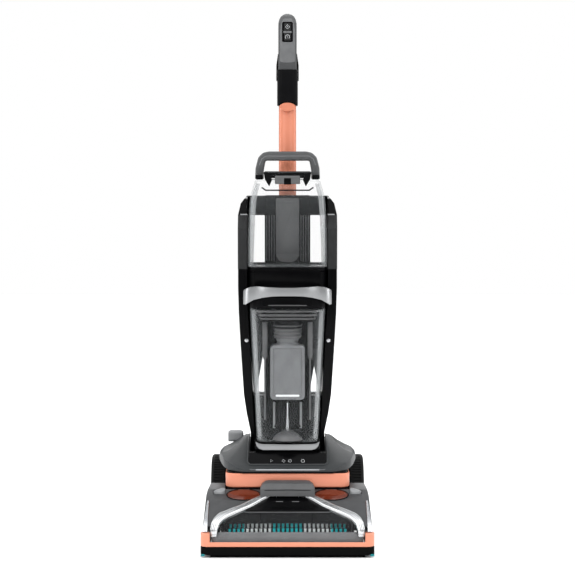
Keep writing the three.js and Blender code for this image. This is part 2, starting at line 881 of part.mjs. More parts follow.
function handleTube() {
  return along("z", ellipse(0, TUBE.y, TUBE.halfX, TUBE.halfY), TUBE.low, TUBE.high, 12);
}

function handleCollar() {
  const outline = polygon([
    [56, 892],
    [94, 892],
    [98, 905],
    [98, 966],
    [52, 966],
    [52, 905],
  ]);
  const block = along("x", outline, -21.5, 21.5);
  const plan = along("z", roundedRect(-21.5, 52, 21.5, 98, 12), 880, 970);
  const fit = ellipse(0, TUBE.y, TUBE.halfX + GAP, TUBE.halfY + GAP);
  const bore = along("z", fit, 880, TUBE.high + GAP, 12);
  const arch = along("y", ellipse(0, 889, 17, 9), 40, TUBE.y, 12);
  return cut(block.intersect(plan), bore, arch);
}

const BUTTON = { half: 7, travel: 1.2, face: 53, back: 58.5, zs: [1033, 1054] };
const TRIGGER_PIVOT = { y: 117, z: 1044 };

function gripShell() {
  const outer = [
    [98.6, 966.4],
    [98.6, 938],
    [118, 938],
    [134, 955],
    [148, 990],
    [151, 1030],
    [139, 1060],
    [112, 1080],
    [86, 1084],
    [64, 1076],
    [GRIP_FRONT, 1062],
    [GRIP_FRONT, 966.4],
  ];
  const finger = new THREE.Path(
    [
      [84, 985],
      [84, 1040],
      [92, 1054],
      [108, 1056],
      [121, 1046],
      [125, 1025],
      [122, 1000],
      [108, 975],
      [94, 970],
    ].map(([y, z]) => new THREE.Vector2(y, z)),
  );
  const loop = polygon(outer);
  loop.holes.push(finger);
  const profile = along("x", loop, -19, 19);
  const front = polygon(
    mirrorLine([
      [19, 936],
      [19, 1040],
      [17.5, 1070],
      [12, 1085],
    ]),
  );
  const slot = box(-10.5, 10.5, 110, 135, 981, 1050);
  const pockets = BUTTON.zs.map((z) =>
    box(-BUTTON.half - 0.5, BUTTON.half + 0.5, 50, 60.6, z - BUTTON.half - 0.5, z + BUTTON.half + 0.5),
  );
  const pin = rod("x", TRIGGER_PIVOT.y, TRIGGER_PIVOT.z, 2.9, -14.5, 14.5, 8);
  return cut(profile.intersect(along("y", front, 0, 200)), slot, pin, ...pockets);
}

function trigger() {
  const { y, z } = TRIGGER_PIVOT;
  const outline = polygon([
    [y - 4, z + 4],
    [y + 4, z + 4],
    [y + 6, z - 8],
    [y + 4, z - 40],
    [y, z - 58],
    [y - 6, z - 58],
    [y - 3, z - 40],
    [y - 2, z - 10],
  ]);
  return join(along("x", outline, -10, 10), rod("x", y, z, 2.5, -14, 14, 8));
}

function button(z) {
  const { half, face, back } = BUTTON;
  return along("y", roundedRect(-half, z - half, half, z + half, 2), face, back);
}

function buildUpright() {
  place(upright, "body_frame", bodyFrame(), satinBlack);
  place(upright, "dock_shelf", dockShelf(), glossBlack);
  place(upright, "mid_housing", midHousing(), satinBlack);
  place(upright, "face_panel", facePanel(), glossBlack);
  place(upright, "control_board", controlBoard(), boardGreen);
  placePair(upright, "side_pod", sidePod(), glossBlack);
  place(upright, "rear_cover", rearCover(), satinBlack);
  place(upright, "cord_hook", cordHook(), satinBlack);
  place(upright, "cord_gland", cordGland(), rubberBlack);
  place(upright, "hose_port_cap", hosePortCap(), satinBlack);
  place(upright, "handle_tube", handleTube(), copper);
  place(upright, "handle_collar", handleCollar(), satinBlack);
  place(upright, "grip_shell", gripShell(), gripGrey);
  place(upright, "trigger", trigger(), satinBlack);
  ["lower", "upper"].forEach((name, i) =>
    place(upright, "button_" + name, button(BUTTON.zs[i]), satinBlack),
  );
}

// ---- Clean-water tank ---------------------------------------------------------------------------
const FILL = { half: 30, front: -38, rear: -8 };

function cleanTankShell() {
  const levels = [
    [562, 80, -75, 28],
    [610, 80, -74, 28],
    [660, 78, -71, 28],
    [700, 75.5, -60, 28],
    [738, 66, -42, 28],
  ];
  const inside = levels.map(([z, half, front, rear], i) => [
    z + (i === 0 ? TANK_WALL : i === levels.length - 1 ? -TANK_WALL : 0),
    half - TANK_WALL,
    front + TANK_WALL,
    rear - TANK_WALL,
  ]);
  const mouth = box(-FILL.half, FILL.half, FILL.front, FILL.rear, 730, 745);
  return cut(tapered(levels), tapered(inside), mouth);
}

function carryHandle() {
  const outer = mirrorLine([
    [66, 738.4],
    [66, 765],
    [57, 788],
    [45, 796],
  ]);
  const inner = mirrorLine([
    [48.5, 730],
    [48.5, 762],
    [41, 775],
  ]);
  return cut(along("y", polygon(outer), 6, 28), along("y", polygon(inner), 0, 40));
}

function fillLid() {
  const top = mirrorLine([
    [36, 738.4],
    [47.5, 749],
    [48, 754],
  ]);
  const rearRound = rod("x", -7, 742, 3.5, -40, 40, 10);
  const plug = box(-28, 28, -36, -10, 731, 739);
  return join(along("y", polygon(top), -42, -7), rearRound, plug);
}

function buildCleanTank() {
  place(cleanTank, "clean_tank_shell", cleanTankShell(), clear);
  const base = along("z", roundedRect(-79.5, -59.6, 79.5, 28, 14), 553, 561.6);
  place(cleanTank, "clean_tank_base", base, satinBlack);
  place(cleanTank, "carry_handle", carryHandle(), gripGrey);
  place(cleanTank, "fill_lid", fillLid(), clear);
}

// ---- Dirty-water tank ---------------------------------------------------------------------------
const FLOAT = { y: -47.5, neck: 23 };

function dirtyTankShell() {
  const levels = [
    [205, 62, -62, 28],
    [300, 67, -85, 28],
    [480, 76, -95, 28],
  ];
  const inside = levels.map(([z, half, front, rear], i) => [
    z + (i === 0 ? TANK_WALL : i === levels.length - 1 ? 1 : 0),
    half - TANK_WALL,
    front + TANK_WALL,
    rear - TANK_WALL,
  ]);
  return cut(tapered(levels), tapered(inside));
}

function dirtyTankLid() {
  const plate = along("z", roundedRect(-76, -97, 76, 28, 22), 480.4, 500);
  return cut(plate, along("z", ellipse(0, -112, 60, 30), 486, 510, 8));
}

// Wide arched bail in front of the tank: bowed forward in plan, and its ends droop.
function dirtyTankHandle() {
  const bow = (radiusX, radiusY) => ellipse(0, -78, radiusX, radiusY);
  const band = cut(along("z", bow(89, 45), 490, 530, 10), along("z", bow(78, 33), 480, 540, 10));
  const face = mirrorLine([
    [88, 490],
    [88, 502],
    [70, 518],
    [40, 524],
  ]);
  const under = mirrorLine([
    [78, 480],
    [66, 506],
    [40, 511],
  ]);
  const arch = cut(
    band.intersect(along("y", polygon(face), -130, -79)),
    along("y", polygon(under), -130, -99),
  );
  const feet = bothSides(box(60, 75.5, -100, -72, 500.4, 508));
  return join(arch, feet);
}

function separatorStack() {
  const plate = along("z", roundedRect(-55, -78, 55, 15, 14), 452, 470);
  const neck = along("z", ellipse(0, FLOAT.y, 25), 469, 480, 6);
  const guide = cut(
    along("z", ellipse(0, FLOAT.y, FLOAT.neck + 5), 437, 453, 6),
    along("z", ellipse(0, FLOAT.y, FLOAT.neck + 2), 430, 451, 6),
  );
  const rails = bothSides(box(42, 47, -50, -44, 250, 453));
  const risers = bothSides(rod("z", 15, -12, 6, 208, 453, 8));
  return join(plate, neck, guide, rails, risers);
}

function tankFloat() {
  return join(
    along("z", roundedRect(-35, -70, 35, -25, 8), 293, 404),
    along("z", ellipse(0, FLOAT.y, FLOAT.neck), 403, 432, 6),
  );
}

function buildDirtyTank() {
  place(dirtyTank, "dirty_tank_shell", dirtyTankShell(), clear);
  place(dirtyTank, "dirty_tank_lid", dirtyTankLid(), satinBlack);
  place(dirtyTank, "dirty_tank_handle", dirtyTankHandle(), silver);
  place(dirtyTank, "separator_stack", separatorStack(), satinBlack);
  place(dirtyTank, "tank_float", tankFloat(), floatGrey);
}

buildFoot();
buildNozzle();
buildUpright();
buildCleanTank();
buildDirtyTank();

export default machine;
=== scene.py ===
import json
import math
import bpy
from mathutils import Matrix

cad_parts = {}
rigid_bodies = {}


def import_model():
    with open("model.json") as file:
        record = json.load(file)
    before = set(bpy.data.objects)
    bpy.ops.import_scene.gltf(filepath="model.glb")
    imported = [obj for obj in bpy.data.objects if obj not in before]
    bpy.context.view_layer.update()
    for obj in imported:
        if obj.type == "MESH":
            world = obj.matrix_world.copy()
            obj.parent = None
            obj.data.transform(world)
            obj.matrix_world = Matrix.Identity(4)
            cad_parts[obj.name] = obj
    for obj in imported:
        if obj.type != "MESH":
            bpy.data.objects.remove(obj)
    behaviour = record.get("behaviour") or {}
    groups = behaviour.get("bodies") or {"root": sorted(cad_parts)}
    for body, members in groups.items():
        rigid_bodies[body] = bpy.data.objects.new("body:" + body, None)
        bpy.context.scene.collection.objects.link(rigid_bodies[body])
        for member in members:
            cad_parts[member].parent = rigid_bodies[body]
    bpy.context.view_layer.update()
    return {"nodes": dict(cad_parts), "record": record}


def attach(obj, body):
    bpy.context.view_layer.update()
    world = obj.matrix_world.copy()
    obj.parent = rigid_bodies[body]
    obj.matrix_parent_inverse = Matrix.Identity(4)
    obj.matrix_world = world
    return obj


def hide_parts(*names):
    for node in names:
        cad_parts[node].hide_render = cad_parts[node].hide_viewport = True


bl_info = {
    "name": "Upright Carpet Cleaner",
    "version": (1, 0, 0),
    "blender": (4, 5, 0),
    "location": "3D View > Sidebar > Cleaner",
    "description": "Builds the finished pieces and the studio round an upright carpet cleaner",
    "category": "Object",
}

import bmesh
import bpy
from bpy.props import FloatProperty, FloatVectorProperty, IntProperty, PointerProperty
from mathutils import Matrix, Vector

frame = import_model()
RECORD = frame["record"]
BODY_OF = {n: body for body, nodes in RECORD["behaviour"]["bodies"].items() for n in nodes}
SLOT_OF = {part["node"]: part["material_slot"] for part in RECORD["subparts"]}

MM = 0.001
HALF_TURN = math.pi
MIRROR_X = Matrix.Scale(-1, 4, (1, 0, 0))

# Sloping top of the nozzle, front to back, as (y, z) in millimetres.
DECK = [(-209, 24), (-205, 45), (-190, 62), (-160, 80), (-128, 98), (-92, 114), (-48, 120)]
# Silver arms of the nozzle, back to front, as (x, y) of the outer and the inner edge.
ARM_OUTER = [(54, -118), (92, -145), (117, -158), (135.5, -168), (145, -179), (149.6, -191)]
ARM_OUTER += [(151.5, -203)]
ARM_INNER = [(35, -118), (70, -146), (96, -161), (116, -173), (127, -184), (134, -194), (138, -203)]
# Right-hand edge of the hood, seen from the front as (x, z), and from above as (x, y).
HOOD_SIDE = [(120, 150), (134, 156), (140, 162), (141.5, 168), (140, 173.5), (133, 179)]
HOOD_SIDE += [(120, 182.5), (105, 190), (94, 198.5), (84, 203.5)]
HOOD_PLAN = [(95, -93), (128, -60), (141, 0), (141, 50), (120, 85)]
# The fascia's slope, as the way back and up for each millimetre along it.
FASCIA_BACK, FASCIA_UP = 0.667, 0.745
WHEEL_CENTRE = (145, 140, 75)
BRUSH_Z = 26
BUTTON_Z = {"lower": 1033, "upper": 1054}
# A point on the upright axis that the float and the drain rod share.
FLOAT_AXIS = (0, -47.5, 0)

CAMERA_PLACE = (0, -3.6, 0.725)
CAMERA_TILT = 3.31
CAMERA_LENS = 109.8


# ---- Selecting and finishing ---------------------------------------------------------------------
def mm(x, y, z):
    """A point in metres, from millimetres."""
    return Vector((x, y, z)) * MM


def deselect():
    """Leaves edit mode with nothing selected."""
    if bpy.context.object and bpy.context.object.mode != "OBJECT":
        bpy.ops.object.mode_set(mode="OBJECT")
    bpy.ops.object.select_all(action="DESELECT")


def activate(piece):
    """Selects one piece alone."""
    deselect()
    piece.select_set(True)
    bpy.context.view_layer.objects.active = piece


def open_mesh(piece, kind="FACE"):
    """Opens a piece for editing with nothing selected."""
    activate(piece)
    bpy.ops.object.mode_set(mode="EDIT")
    bpy.ops.mesh.select_mode(type=kind)
    bpy.ops.mesh.select_all(action="DESELECT")


def pick(piece, test, kind="faces"):
    """Selects the faces, edges or vertices of the open piece that pass a test."""
    shape = bmesh.from_edit_mesh(piece.data)
    for part in getattr(shape, kind):
        part.select_set(bool(test(part)))
    shape.select_flush_mode()
    bmesh.update_edit_mesh(piece.data)


def close_mesh(outward=True):
    """Merges doubles, turns the faces outwards and leaves edit mode."""
    bpy.ops.mesh.select_mode(type="VERT")
    bpy.ops.mesh.select_all(action="SELECT")
    bpy.ops.mesh.remove_doubles(threshold=1e-6)
    if outward:
        bpy.ops.mesh.normals_make_consistent(inside=False)
    bpy.ops.object.mode_set(mode="OBJECT")


def named(name):
    """Names the active object and its mesh."""
    piece = bpy.context.object
    piece.name = name
    piece.data.name = name
    return piece


def settle(piece):
    """Puts a piece's place, turn and size into its mesh."""
    activate(piece)
    bpy.ops.object.transform_apply(location=True, rotation=True, scale=True)
    return piece


def apply_modifier(piece, kind, **settings):
    """Adds a modifier, sets it up and applies it."""
    activate(piece)
    modifier = piece.modifiers.new(kind.title(), kind)
    for key, value in settings.items():
        setattr(modifier, key, value)
    bpy.ops.object.modifier_apply(modifier=modifier.name)


def smooth(piece, degrees=35):
    """Shades a piece smooth where its faces meet below an angle."""
    activate(piece)
    bpy.ops.object.shade_smooth_by_angle(angle=math.radians(degrees))
    return piece


def soften(piece, width, steps=3, degrees=30, clamp=True):
    """Rounds the edges that are sharper than an angle, width in millimetres."""
    apply_modifier(
        piece,
        "BEVEL",
        width=width * MM,
        segments=steps,
        limit_method="ANGLE",
        angle_limit=math.radians(degrees),
        use_clamp_overlap=clamp,
    )
    return smooth(piece)


def combine(piece, operation, tools):
    """Runs a boolean with each tool in turn, and removes the tools."""
    for tool in tools:
        apply_modifier(piece, "BOOLEAN", operation=operation, object=tool, solver="EXACT")
        bpy.data.objects.remove(tool)
    return piece


def cut(piece, *tools):
    """Takes the tools out of a piece."""
    return combine(piece, "DIFFERENCE", tools)


def meet(piece, tool):
    """Keeps what a piece and a tool share."""
    return combine(piece, "INTERSECT", [tool])


def joined(name, pieces):
    """Makes one piece of several."""
    deselect()
    for piece in pieces:
        piece.select_set(True)
    bpy.context.view_layer.objects.active = pieces[0]
    bpy.ops.object.join()
    return named(name)


def copied(piece, name, matrix):
    """A copy with its own mesh, moved by a matrix that goes into the mesh."""
    activate(piece)
    bpy.ops.object.duplicate()
    twin = named(name)
    twin.data.transform(matrix)
    if matrix.determinant() < 0:
        open_mesh(twin)
        bpy.ops.mesh.select_all(action="SELECT")
        bpy.ops.mesh.flip_normals()
        bpy.ops.object.mode_set(mode="OBJECT")
    return twin


def with_twin(piece, name):
    """A piece and its mirror image on the other side of the machine."""
    return [piece, copied(piece, name, MIRROR_X)]


def loose_copy(source, name):
    """A copy with its own mesh that belongs to no body yet."""
    activate(source)
    bpy.ops.object.duplicate()
    piece = named(name)
    for key in list(piece.keys()):
        del piece[key]
    bpy.ops.object.parent_clear(type="CLEAR_KEEP_TRANSFORM")
    return piece


# ---- Shapes --------------------------------------------------------------------------------------
def across(axis, u, v, w):
    """A point drawn in (y, z) for x, (x, z) for y and (x, y) for z, at w along the axis."""
    return {"x": mm(w, u, v), "y": mm(u, w, v), "z": mm(u, v, w)}[axis]


def draw_line(name, points, closed):
    """A chain of edges through points, by extruding one vertex along them."""
    deselect()
    bpy.ops.mesh.primitive_plane_add(size=0.01)
    piece = named(name)
    bpy.ops.object.mode_set(mode="EDIT")
    bpy.ops.mesh.select_mode(type="VERT")
    bpy.ops.mesh.merge(type="CENTER")
    bpy.ops.transform.translate(value=points[0])
    for start, end in zip(points, points[1:]):
        bpy.ops.mesh.extrude_region_move(TRANSFORM_OT_translate={"value": end - start})
    if closed:
        pick(piece, lambda vert: len(vert.link_edges) != 2, "verts")
        bpy.ops.mesh.edge_face_add()
    bpy.ops.mesh.select_all(action="SELECT")
    return piece


def plate(name, axis, outline, near, far, corner=0, corner_steps=5):
    """A solid with a drawn outline, pushed along an axis from near to far."""
    piece = draw_line(name, [across(axis, u, v, near) for u, v in outline], True)
    bpy.ops.mesh.edge_face_add()
    if corner:
        bpy.ops.mesh.bevel(offset=corner * MM, segments=corner_steps, affect="VERTICES")
        bpy.ops.mesh.select_all(action="SELECT")
    push = across(axis, 0, 0, far) - across(axis, 0, 0, near)
    bpy.ops.mesh.extrude_region_move(TRANSFORM_OT_translate={"value": push})
    close_mesh()
    return piece


def mirror_outline(points):
    """A right-hand edge, from one end to the other, joined to its mirror image."""
    return list(points) + [(-u, v) for u, v in reversed(points)]


def rectangle(u0, v0, u1, v1):
    """The corners of a rectangle, from two opposite ones."""
    return [(u0, v0), (u1, v0), (u1, v1), (u0, v1)]


def block(name, low, high, width=0, steps=3):
    """A box between two corners with rounded edges."""
    outline = rectangle(low[0], low[1], high[0], high[1])
    piece = plate(name, "z", outline, low[2], high[2])
    return soften(piece, width, steps) if width else piece


def oval(u, v, radius_u, radius_v, count=48):
    """Points round an ellipse."""
    turns = [2 * HALF_TURN * i / count for i in range(count)]
    return [(u + radius_u * math.cos(a), v + radius_v * math.sin(a)) for a in turns]


def turned(name, axis, profile, centre, steps=48, ring=False):
    """A round piece from (radius, distance) points, spun about an axis through a centre."""
    middle = mm(*centre)
    radial = Vector((0, 0, 1)) if axis == "x" else Vector((1, 0, 0))
    line = {"x": Vector((1, 0, 0)), "y": Vector((0, 1, 0)), "z": Vector((0, 0, 1))}[axis]
    points = [middle + radial * (r * MM) + line * (d * MM) for r, d in profile]
    piece = draw_line(name, points, ring)
    bpy.ops.mesh.spin(steps=steps, angle=2 * HALF_TURN, center=middle, axis=line)
    close_mesh()
    return piece


def tower(name, levels, corner, corner_steps=7):
    """A rounded box whose size changes level by level, as (z, half width, front y, rear y)."""
    z, half, front, rear = levels[0]
    piece = draw_line(name, [mm(x, y, z) for x, y in rectangle(-half, front, half, rear)], True)
    bpy.ops.mesh.edge_face_add()
    bpy.ops.mesh.bevel(offset=corner * MM, segments=corner_steps, affect="VERTICES")
    bpy.ops.mesh.select_all(action="SELECT")
    for below, above in zip(levels, levels[1:]):
        middle = [0, (below[2] + below[3]) / 2 * MM, above[0] * MM]
        shift = (above[2] + above[3] - below[2] - below[3]) / 2
        ratio = (above[3] - above[2]) / (below[3] - below[2])
        bpy.ops.mesh.extrude_region_move(
            TRANSFORM_OT_translate={"value": mm(0, 0, above[0] - below[0])}
        )
        bpy.ops.transform.resize(value=(above[1] / below[1], ratio, 1), center_override=middle)
        bpy.ops.transform.translate(value=mm(0, shift, 0))
    close_mesh()
    return piece


def eased(levels, steps=4):
    """Levels with smooth ones put in between, by a Catmull-Rom curve."""
    out = []
    for i in range(len(levels) - 1):
        a, b, c, d = (levels[max(0, min(len(levels) - 1, i + k))] for k in (-1, 0, 1, 2))
        for step in range(steps):
            t = step / steps
            out.append(
                tuple(
                    0.5 * (2 * q + (r - p) * t + (2 * p - 5 * q + 4 * r - s) * t**2)
                    + 0.5 * (3 * q - p - 3 * r + s) * t**3
                    for p, q, r, s in zip(a, b, c, d)
                )
            )
    return out + [tuple(levels[-1])]


def bead(name, points, radius, closed=False, steps=3):
    """A round bead of trim along points."""
    deselect()
    bpy.ops.curve.primitive_nurbs_path_add()
    piece = named(name)
    piece.data.splines.clear()
    spline = piece.data.splines.new("POLY")
    spline.points.add(len(points) - 1)
    for knot, point in zip(spline.points, points):
        knot.co = (*point, 1)
    spline.use_cyclic_u = closed
    piece.data.dimensions = "3D"
    piece.data.bevel_depth = radius * MM
    piece.data.bevel_resolution = steps
    piece.data.use_fill_caps = not closed
    piece.location = (0, 0, 0)
    bpy.ops.object.convert(target="MESH")
    piece = named(name)
    return smooth(settle(piece), 50)


def slice_off(piece, point, normal):
    """Cuts a solid with a plane, drops what is on the normal's side and closes the cut."""
    open_mesh(piece)
    bpy.ops.mesh.select_all(action="SELECT")
    bpy.ops.mesh.bisect(
        plane_co=mm(*point), plane_no=Vector(normal).normalized(), use_fill=True, clear_outer=True
    )
    close_mesh()
    return piece


def deck_point(x, y, lift=0.0):
    """A point on the nozzle's sloping top, lifted square to it."""
    for (y0, z0), (y1, z1) in zip(DECK, DECK[1:]):
        if y <= y1 or (y1, z1) == DECK[-1]:
            t = (y - y0) / (y1 - y0)
            length = math.hypot(y1 - y0, z1 - z0)
            rise = z0 + t * (z1 - z0)
            return mm(x, y - lift * (z1 - z0) / length, rise + lift * (y1 - y0) / length)


# ---- Materials -----------------------------------------------------------------------------------
def wire(material, *pairs):
    """Links pairs of sockets."""
    for out, into in pairs:
        material.node_tree.links.new(out, into)


def new_material(name, colour, roughness, metallic=0.0):
    material = bpy.data.materials.new(name)
    material.use_nodes = True
    shader = material.node_tree.nodes["Principled BSDF"]
    shader.inputs["Base Color"].default_value = (*colour, 1)
    shader.inputs["Roughness"].default_value = roughness
    shader.inputs["Metallic"].default_value = metallic
    return material, shader


def place_node(material, kind, **sockets):
    """Adds a node and sets some of its inputs."""
    node = material.node_tree.nodes.new(kind)
    for key, value in sockets.items():
        node.inputs[key.replace("_", " ")].default_value = value
    return node


def grain(material, size, stretch=(1, 1, 1), detail=3.0):
    """Noise on the object's own coordinates with features of about size millimetres."""
    place = place_node(material, "ShaderNodeTexCoord")
    turn = place_node(material, "ShaderNodeMapping")
    turn.inputs["Scale"].default_value = stretch
    noise = place_node(material, "ShaderNodeTexNoise", Scale=1 / (size * MM), Detail=detail)
    wire(
        material,
        (place.outputs["Object"], turn.inputs["Vector"]),
        (turn.outputs["Vector"], noise.inputs["Vector"]),
    )
    return noise.outputs["Fac"]


def vary_colour(material, shader, factor, dark, light):
    """Moves the colour between two shades with a pattern."""
    ramp = place_node(material, "ShaderNodeValToRGB")
    ramp.color_ramp.elements[0].position = 0.3
    ramp.color_ramp.elements[1].position = 0.7
    ramp.color_ramp.elements[0].color = (*dark, 1)
    ramp.color_ramp.elements[1].color = (*light, 1)
    wire(material, (factor, ramp.inputs["Fac"]), (ramp.outputs["Color"], shader.inputs["Base Color"]))


def vary_roughness(material, shader, factor, low, high):
    """Moves the roughness between two values with a pattern."""
    span = place_node(material, "ShaderNodeMapRange", To_Min=low, To_Max=high)
    wire(
        material,
        (factor, span.inputs["Value"]),
        (span.outputs["Result"], shader.inputs["Roughness"]),
    )


def raise_grain(material, shader, factor, depth, strength=0.6):
    """Turns a pattern into relief, with its depth in millimetres."""
    bump = place_node(material, "ShaderNodeBump", Strength=strength, Distance=depth * MM)
    wire(
        material,
        (factor, bump.inputs["Height"]),
        (bump.outputs["Normal"], shader.inputs["Normal"]),
    )


def moulded(name, colour, roughness, texture=0.6, depth=0.05, mottle=0.12, specular=0.5):
    """Moulded plastic: a fine texture, faint clouding and uneven gloss."""
    material, shader = new_material(name, colour, roughness)
    shader.inputs["Specular IOR Level"].default_value = specular
    shade = [tuple(c * k for c in colour) for k in (1 - mottle, 1 + mottle)]
    vary_colour(material, shader, grain(material, 18), *shade)
    vary_roughness(material, shader, grain(material, 7), roughness - 0.04, roughness + 0.07)
    raise_grain(material, shader, grain(material, texture), depth)
    return material


def polished(name, colour, roughness, coat=0.0, specular=0.2):
    """Glossy lacquered plastic with a very faint ripple and polish swirls."""
    material, shader = new_material(name, colour, roughness)
    shader.inputs["Coat Weight"].default_value = coat
    shader.inputs["Coat Roughness"].default_value = 0.06
    shader.inputs["Specular IOR Level"].default_value = specular
    shade = [tuple(c * k for c in colour) for k in (0.85, 1.2)]
    vary_colour(material, shader, grain(material, 30), *shade)
    vary_roughness(material, shader, grain(material, 3, (1, 1, 0.25)), roughness, roughness + 0.08)
    raise_grain(material, shader, grain(material, 22, detail=1.0), 0.05, 0.25)
    return material


def metallic_paint(name, colour, roughness, metal=0.5, flake=0.5, gloss=0.5):
    """Paint with metal flakes under a clear coat."""
    material, shader = new_material(name, colour, roughness, metal)
    shader.inputs["Specular IOR Level"].default_value = gloss
    shader.inputs["Coat Weight"].default_value = 0.3 * gloss
    shader.inputs["Coat Roughness"].default_value = 0.15
    shade = [tuple(min(1, c * k) for c in colour) for k in (0.93, 1.06)]
    vary_colour(material, shader, grain(material, flake, detail=1.0), *shade)
    vary_roughness(material, shader, grain(material, 10), roughness - 0.04, roughness + 0.06)
    raise_grain(material, shader, grain(material, flake), 0.01, 0.3)
    return material


def brushed_metal(name, colour, roughness, stretch=(0.05, 1, 1)):
    """Metal with fine lines drawn along one axis."""
    material, shader = new_material(name, colour, roughness, 1.0)
    lines = grain(material, 0.5, stretch)
    vary_colour(material, shader, lines, tuple(c * 0.85 for c in colour), colour)
    vary_roughness(material, shader, lines, roughness - 0.06, roughness + 0.1)
    raise_grain(material, shader, lines, 0.02, 0.4)
    return material


def see_through(name, colour, face, edge, roughness=0.06, tint_size=40, specular=0.4):
    """Clear moulded plastic: see-through face on, and fuller where a wall turns away."""
    material, shader = new_material(name, colour, roughness)
    shader.inputs["Specular IOR Level"].default_value = specular
    turn = place_node(material, "ShaderNodeLayerWeight", Blend=0.18)
    span = place_node(material, "ShaderNodeMapRange", To_Min=face, To_Max=edge)
    wire(
        material,
        (turn.outputs["Facing"], span.inputs["Value"]),
        (span.outputs["Result"], shader.inputs["Alpha"]),
    )
    flow = grain(material, tint_size, detail=1.0)
    shade = [tuple(min(1, c * k) for c in colour) for k in (0.92, 1.05)]
    vary_colour(material, shader, flow, *shade)
    raise_grain(material, shader, flow, 0.1, 0.1)
    return material


def tuft_nylon(colours):
    """Bristles in teal and white stretches along the roll, with fine specks."""
    material, shader = new_material("bristle_nylon", colours.teal, 0.45)
    place = place_node(material, "ShaderNodeTexCoord")
    split = place_node(material, "ShaderNodeSeparateXYZ")
    side = place_node(material, "ShaderNodeMath")
    side.operation = "ABSOLUTE"
    ramp = place_node(material, "ShaderNodeValToRGB")
    ramp.color_ramp.interpolation = "CONSTANT"
    bands = ramp.color_ramp.elements
    bands[0].color = (*colours.teal, 1)
    bands[1].position = 0.029
    bands[1].color = (*colours.tuft_white, 1)
    bands.new(0.083).color = (*colours.teal, 1)
    speck = grain(material, 1.2)
    shade = place_node(material, "ShaderNodeMix")
    shade.data_type = "RGBA"
    shade.blend_type = "MULTIPLY"
    shade.inputs[7].default_value = (0.85, 0.88, 0.88, 1)
    wire(
        material,
        (place.outputs["Object"], split.inputs["Vector"]),
        (split.outputs["X"], side.inputs[0]),
        (side.outputs[0], ramp.inputs["Fac"]),
        (speck, shade.inputs["Factor"]),
        (ramp.outputs["Color"], shade.inputs[6]),
        (shade.outputs[2], shader.inputs["Base Color"]),
    )
    return material


def circuit_board():
    """Green board with lighter tracks."""
    material, shader = new_material("circuit_board", (0.02, 0.1, 0.04), 0.4)
    place = place_node(material, "ShaderNodeTexCoord")
    tracks = place_node(material, "ShaderNodeTexVoronoi", Scale=260.0)
    tracks.feature = "DISTANCE_TO_EDGE"
    wire(material, (place.outputs["Object"], tracks.inputs["Vector"]))
    vary_colour(material, shader, tracks.outputs["Distance"], (0.08, 0.25, 0.1), (0.01, 0.09, 0.03))
    return material


def make_finishes(colours):
    """Every finish of the machine, by the name of its slot."""
    return {
        "gloss_black_plastic": polished("gloss_black_plastic", colours.gloss_black, 0.16, specular=0.06),
        "satin_black_plastic": moulded("satin_black_plastic", colours.satin_black, 0.42, specular=0.04),
        "black_rubber": moulded("black_rubber", colours.rubber, 0.8, 0.9, 0.08, specular=0.03),
        "wheel_plastic": moulded("wheel_plastic", colours.rubber, 0.6, 0.8, 0.06, specular=0.12),
        "hood_grey_plastic": metallic_paint("hood_grey_plastic", colours.hood_grey, 0.42, 0.1, 0.8, 0.2),
        "housing_grey": moulded("housing_grey", colours.housing_grey, 0.5, 0.5, 0.09, 0.15),
        "grip_grey_plastic": moulded("grip_grey_plastic", colours.grip_grey, 0.5, 0.45, 0.05),
        "pale_grey_plastic": moulded("pale_grey_plastic", colours.pale_grey, 0.42, 0.5, 0.04),
        "button_plastic": moulded("button_plastic", colours.satin_black, 0.35, 0.4, 0.03),
        "copper_plastic": metallic_paint("copper_plastic", colours.copper, 0.45, 0.1, 0.4),
        "copper_tube": metallic_paint("copper_tube", colours.tube, 0.42, 0.1, 0.3, 0.3),
        "silver_plastic": metallic_paint("silver_plastic", colours.silver, 0.22, 0.85, 0.5),
        "clear_plastic": see_through("clear_plastic", colours.clear, 0.012, 0.5, specular=0.25),
        # Painted sheen: sheets for the thick clear side walls of the tanks, coloured light to paint the
        # bright refraction those walls show edge on.
        "clear_band": see_through("clear_band", colours.clear_band, 0.42, 0.7),
        "smoke_plastic": see_through("smoke_plastic", colours.smoke, 0.04, 0.35, specular=0.25),
        "amber_plastic": see_through("amber_plastic", colours.amber, 0.8, 0.97),
        "bristle_nylon": tuft_nylon(colours),
        "float_plastic": moulded("float_plastic", colours.float_grey, 0.45, 0.5, 0.04),
        "motor_metal": brushed_metal("motor_metal", (0.55, 0.56, 0.57), 0.35, (1, 1, 0.05)),
        "bright_steel": brushed_metal("bright_steel", (0.62, 0.63, 0.65), 0.22),
        "circuit_board": circuit_board(),
        "edge_teal": moulded("edge_teal", (0.0, 0.2, 0.22), 0.5, 0.4, 0.04),
        "bail_silver": metallic_paint("bail_silver", colours.bail, 0.3, 0.6, 0.5, 0.4),
        # Painted highlight: two beads along the hood's front lower edge, lighter than the hood, a wide
        # faint one and a narrower bright one.
        "hood_lip_wide": metallic_paint("hood_lip_wide", (0.09, 0.094, 0.098), 0.4, 0.1, 0.8, 0.2),
        "hood_lip_bright": metallic_paint("hood_lip_bright", (0.3, 0.31, 0.32), 0.4, 0.1, 0.8, 0.3),
        "skin_grey": moulded("skin_grey", (0.013, 0.0135, 0.014), 0.55, 1.2, 0.12, 0.2, 0.2),
        "icon_white": moulded("icon_white", (0.75, 0.77, 0.78), 0.5, 0.5, 0.02, 0.05),
        "grip_face_grey": moulded("grip_face_grey", colours.grip_face, 0.48, 0.45, 0.04),
        "column_grey": moulded("column_grey", colours.column_grey, 0.4, 0.5, 0.04),
    }


# Filled by main, once the colours are registered.
FINISHES = {}


def dress(piece, body, finish, *stands_for, slot=None):
    """Gives a piece its finish, its body, and the nodes that it stands for."""
    piece.data.materials.clear()
    piece.data.materials.append(FINISHES[finish])
    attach(piece, body)
    if stands_for:
        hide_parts(*stands_for)
    return piece


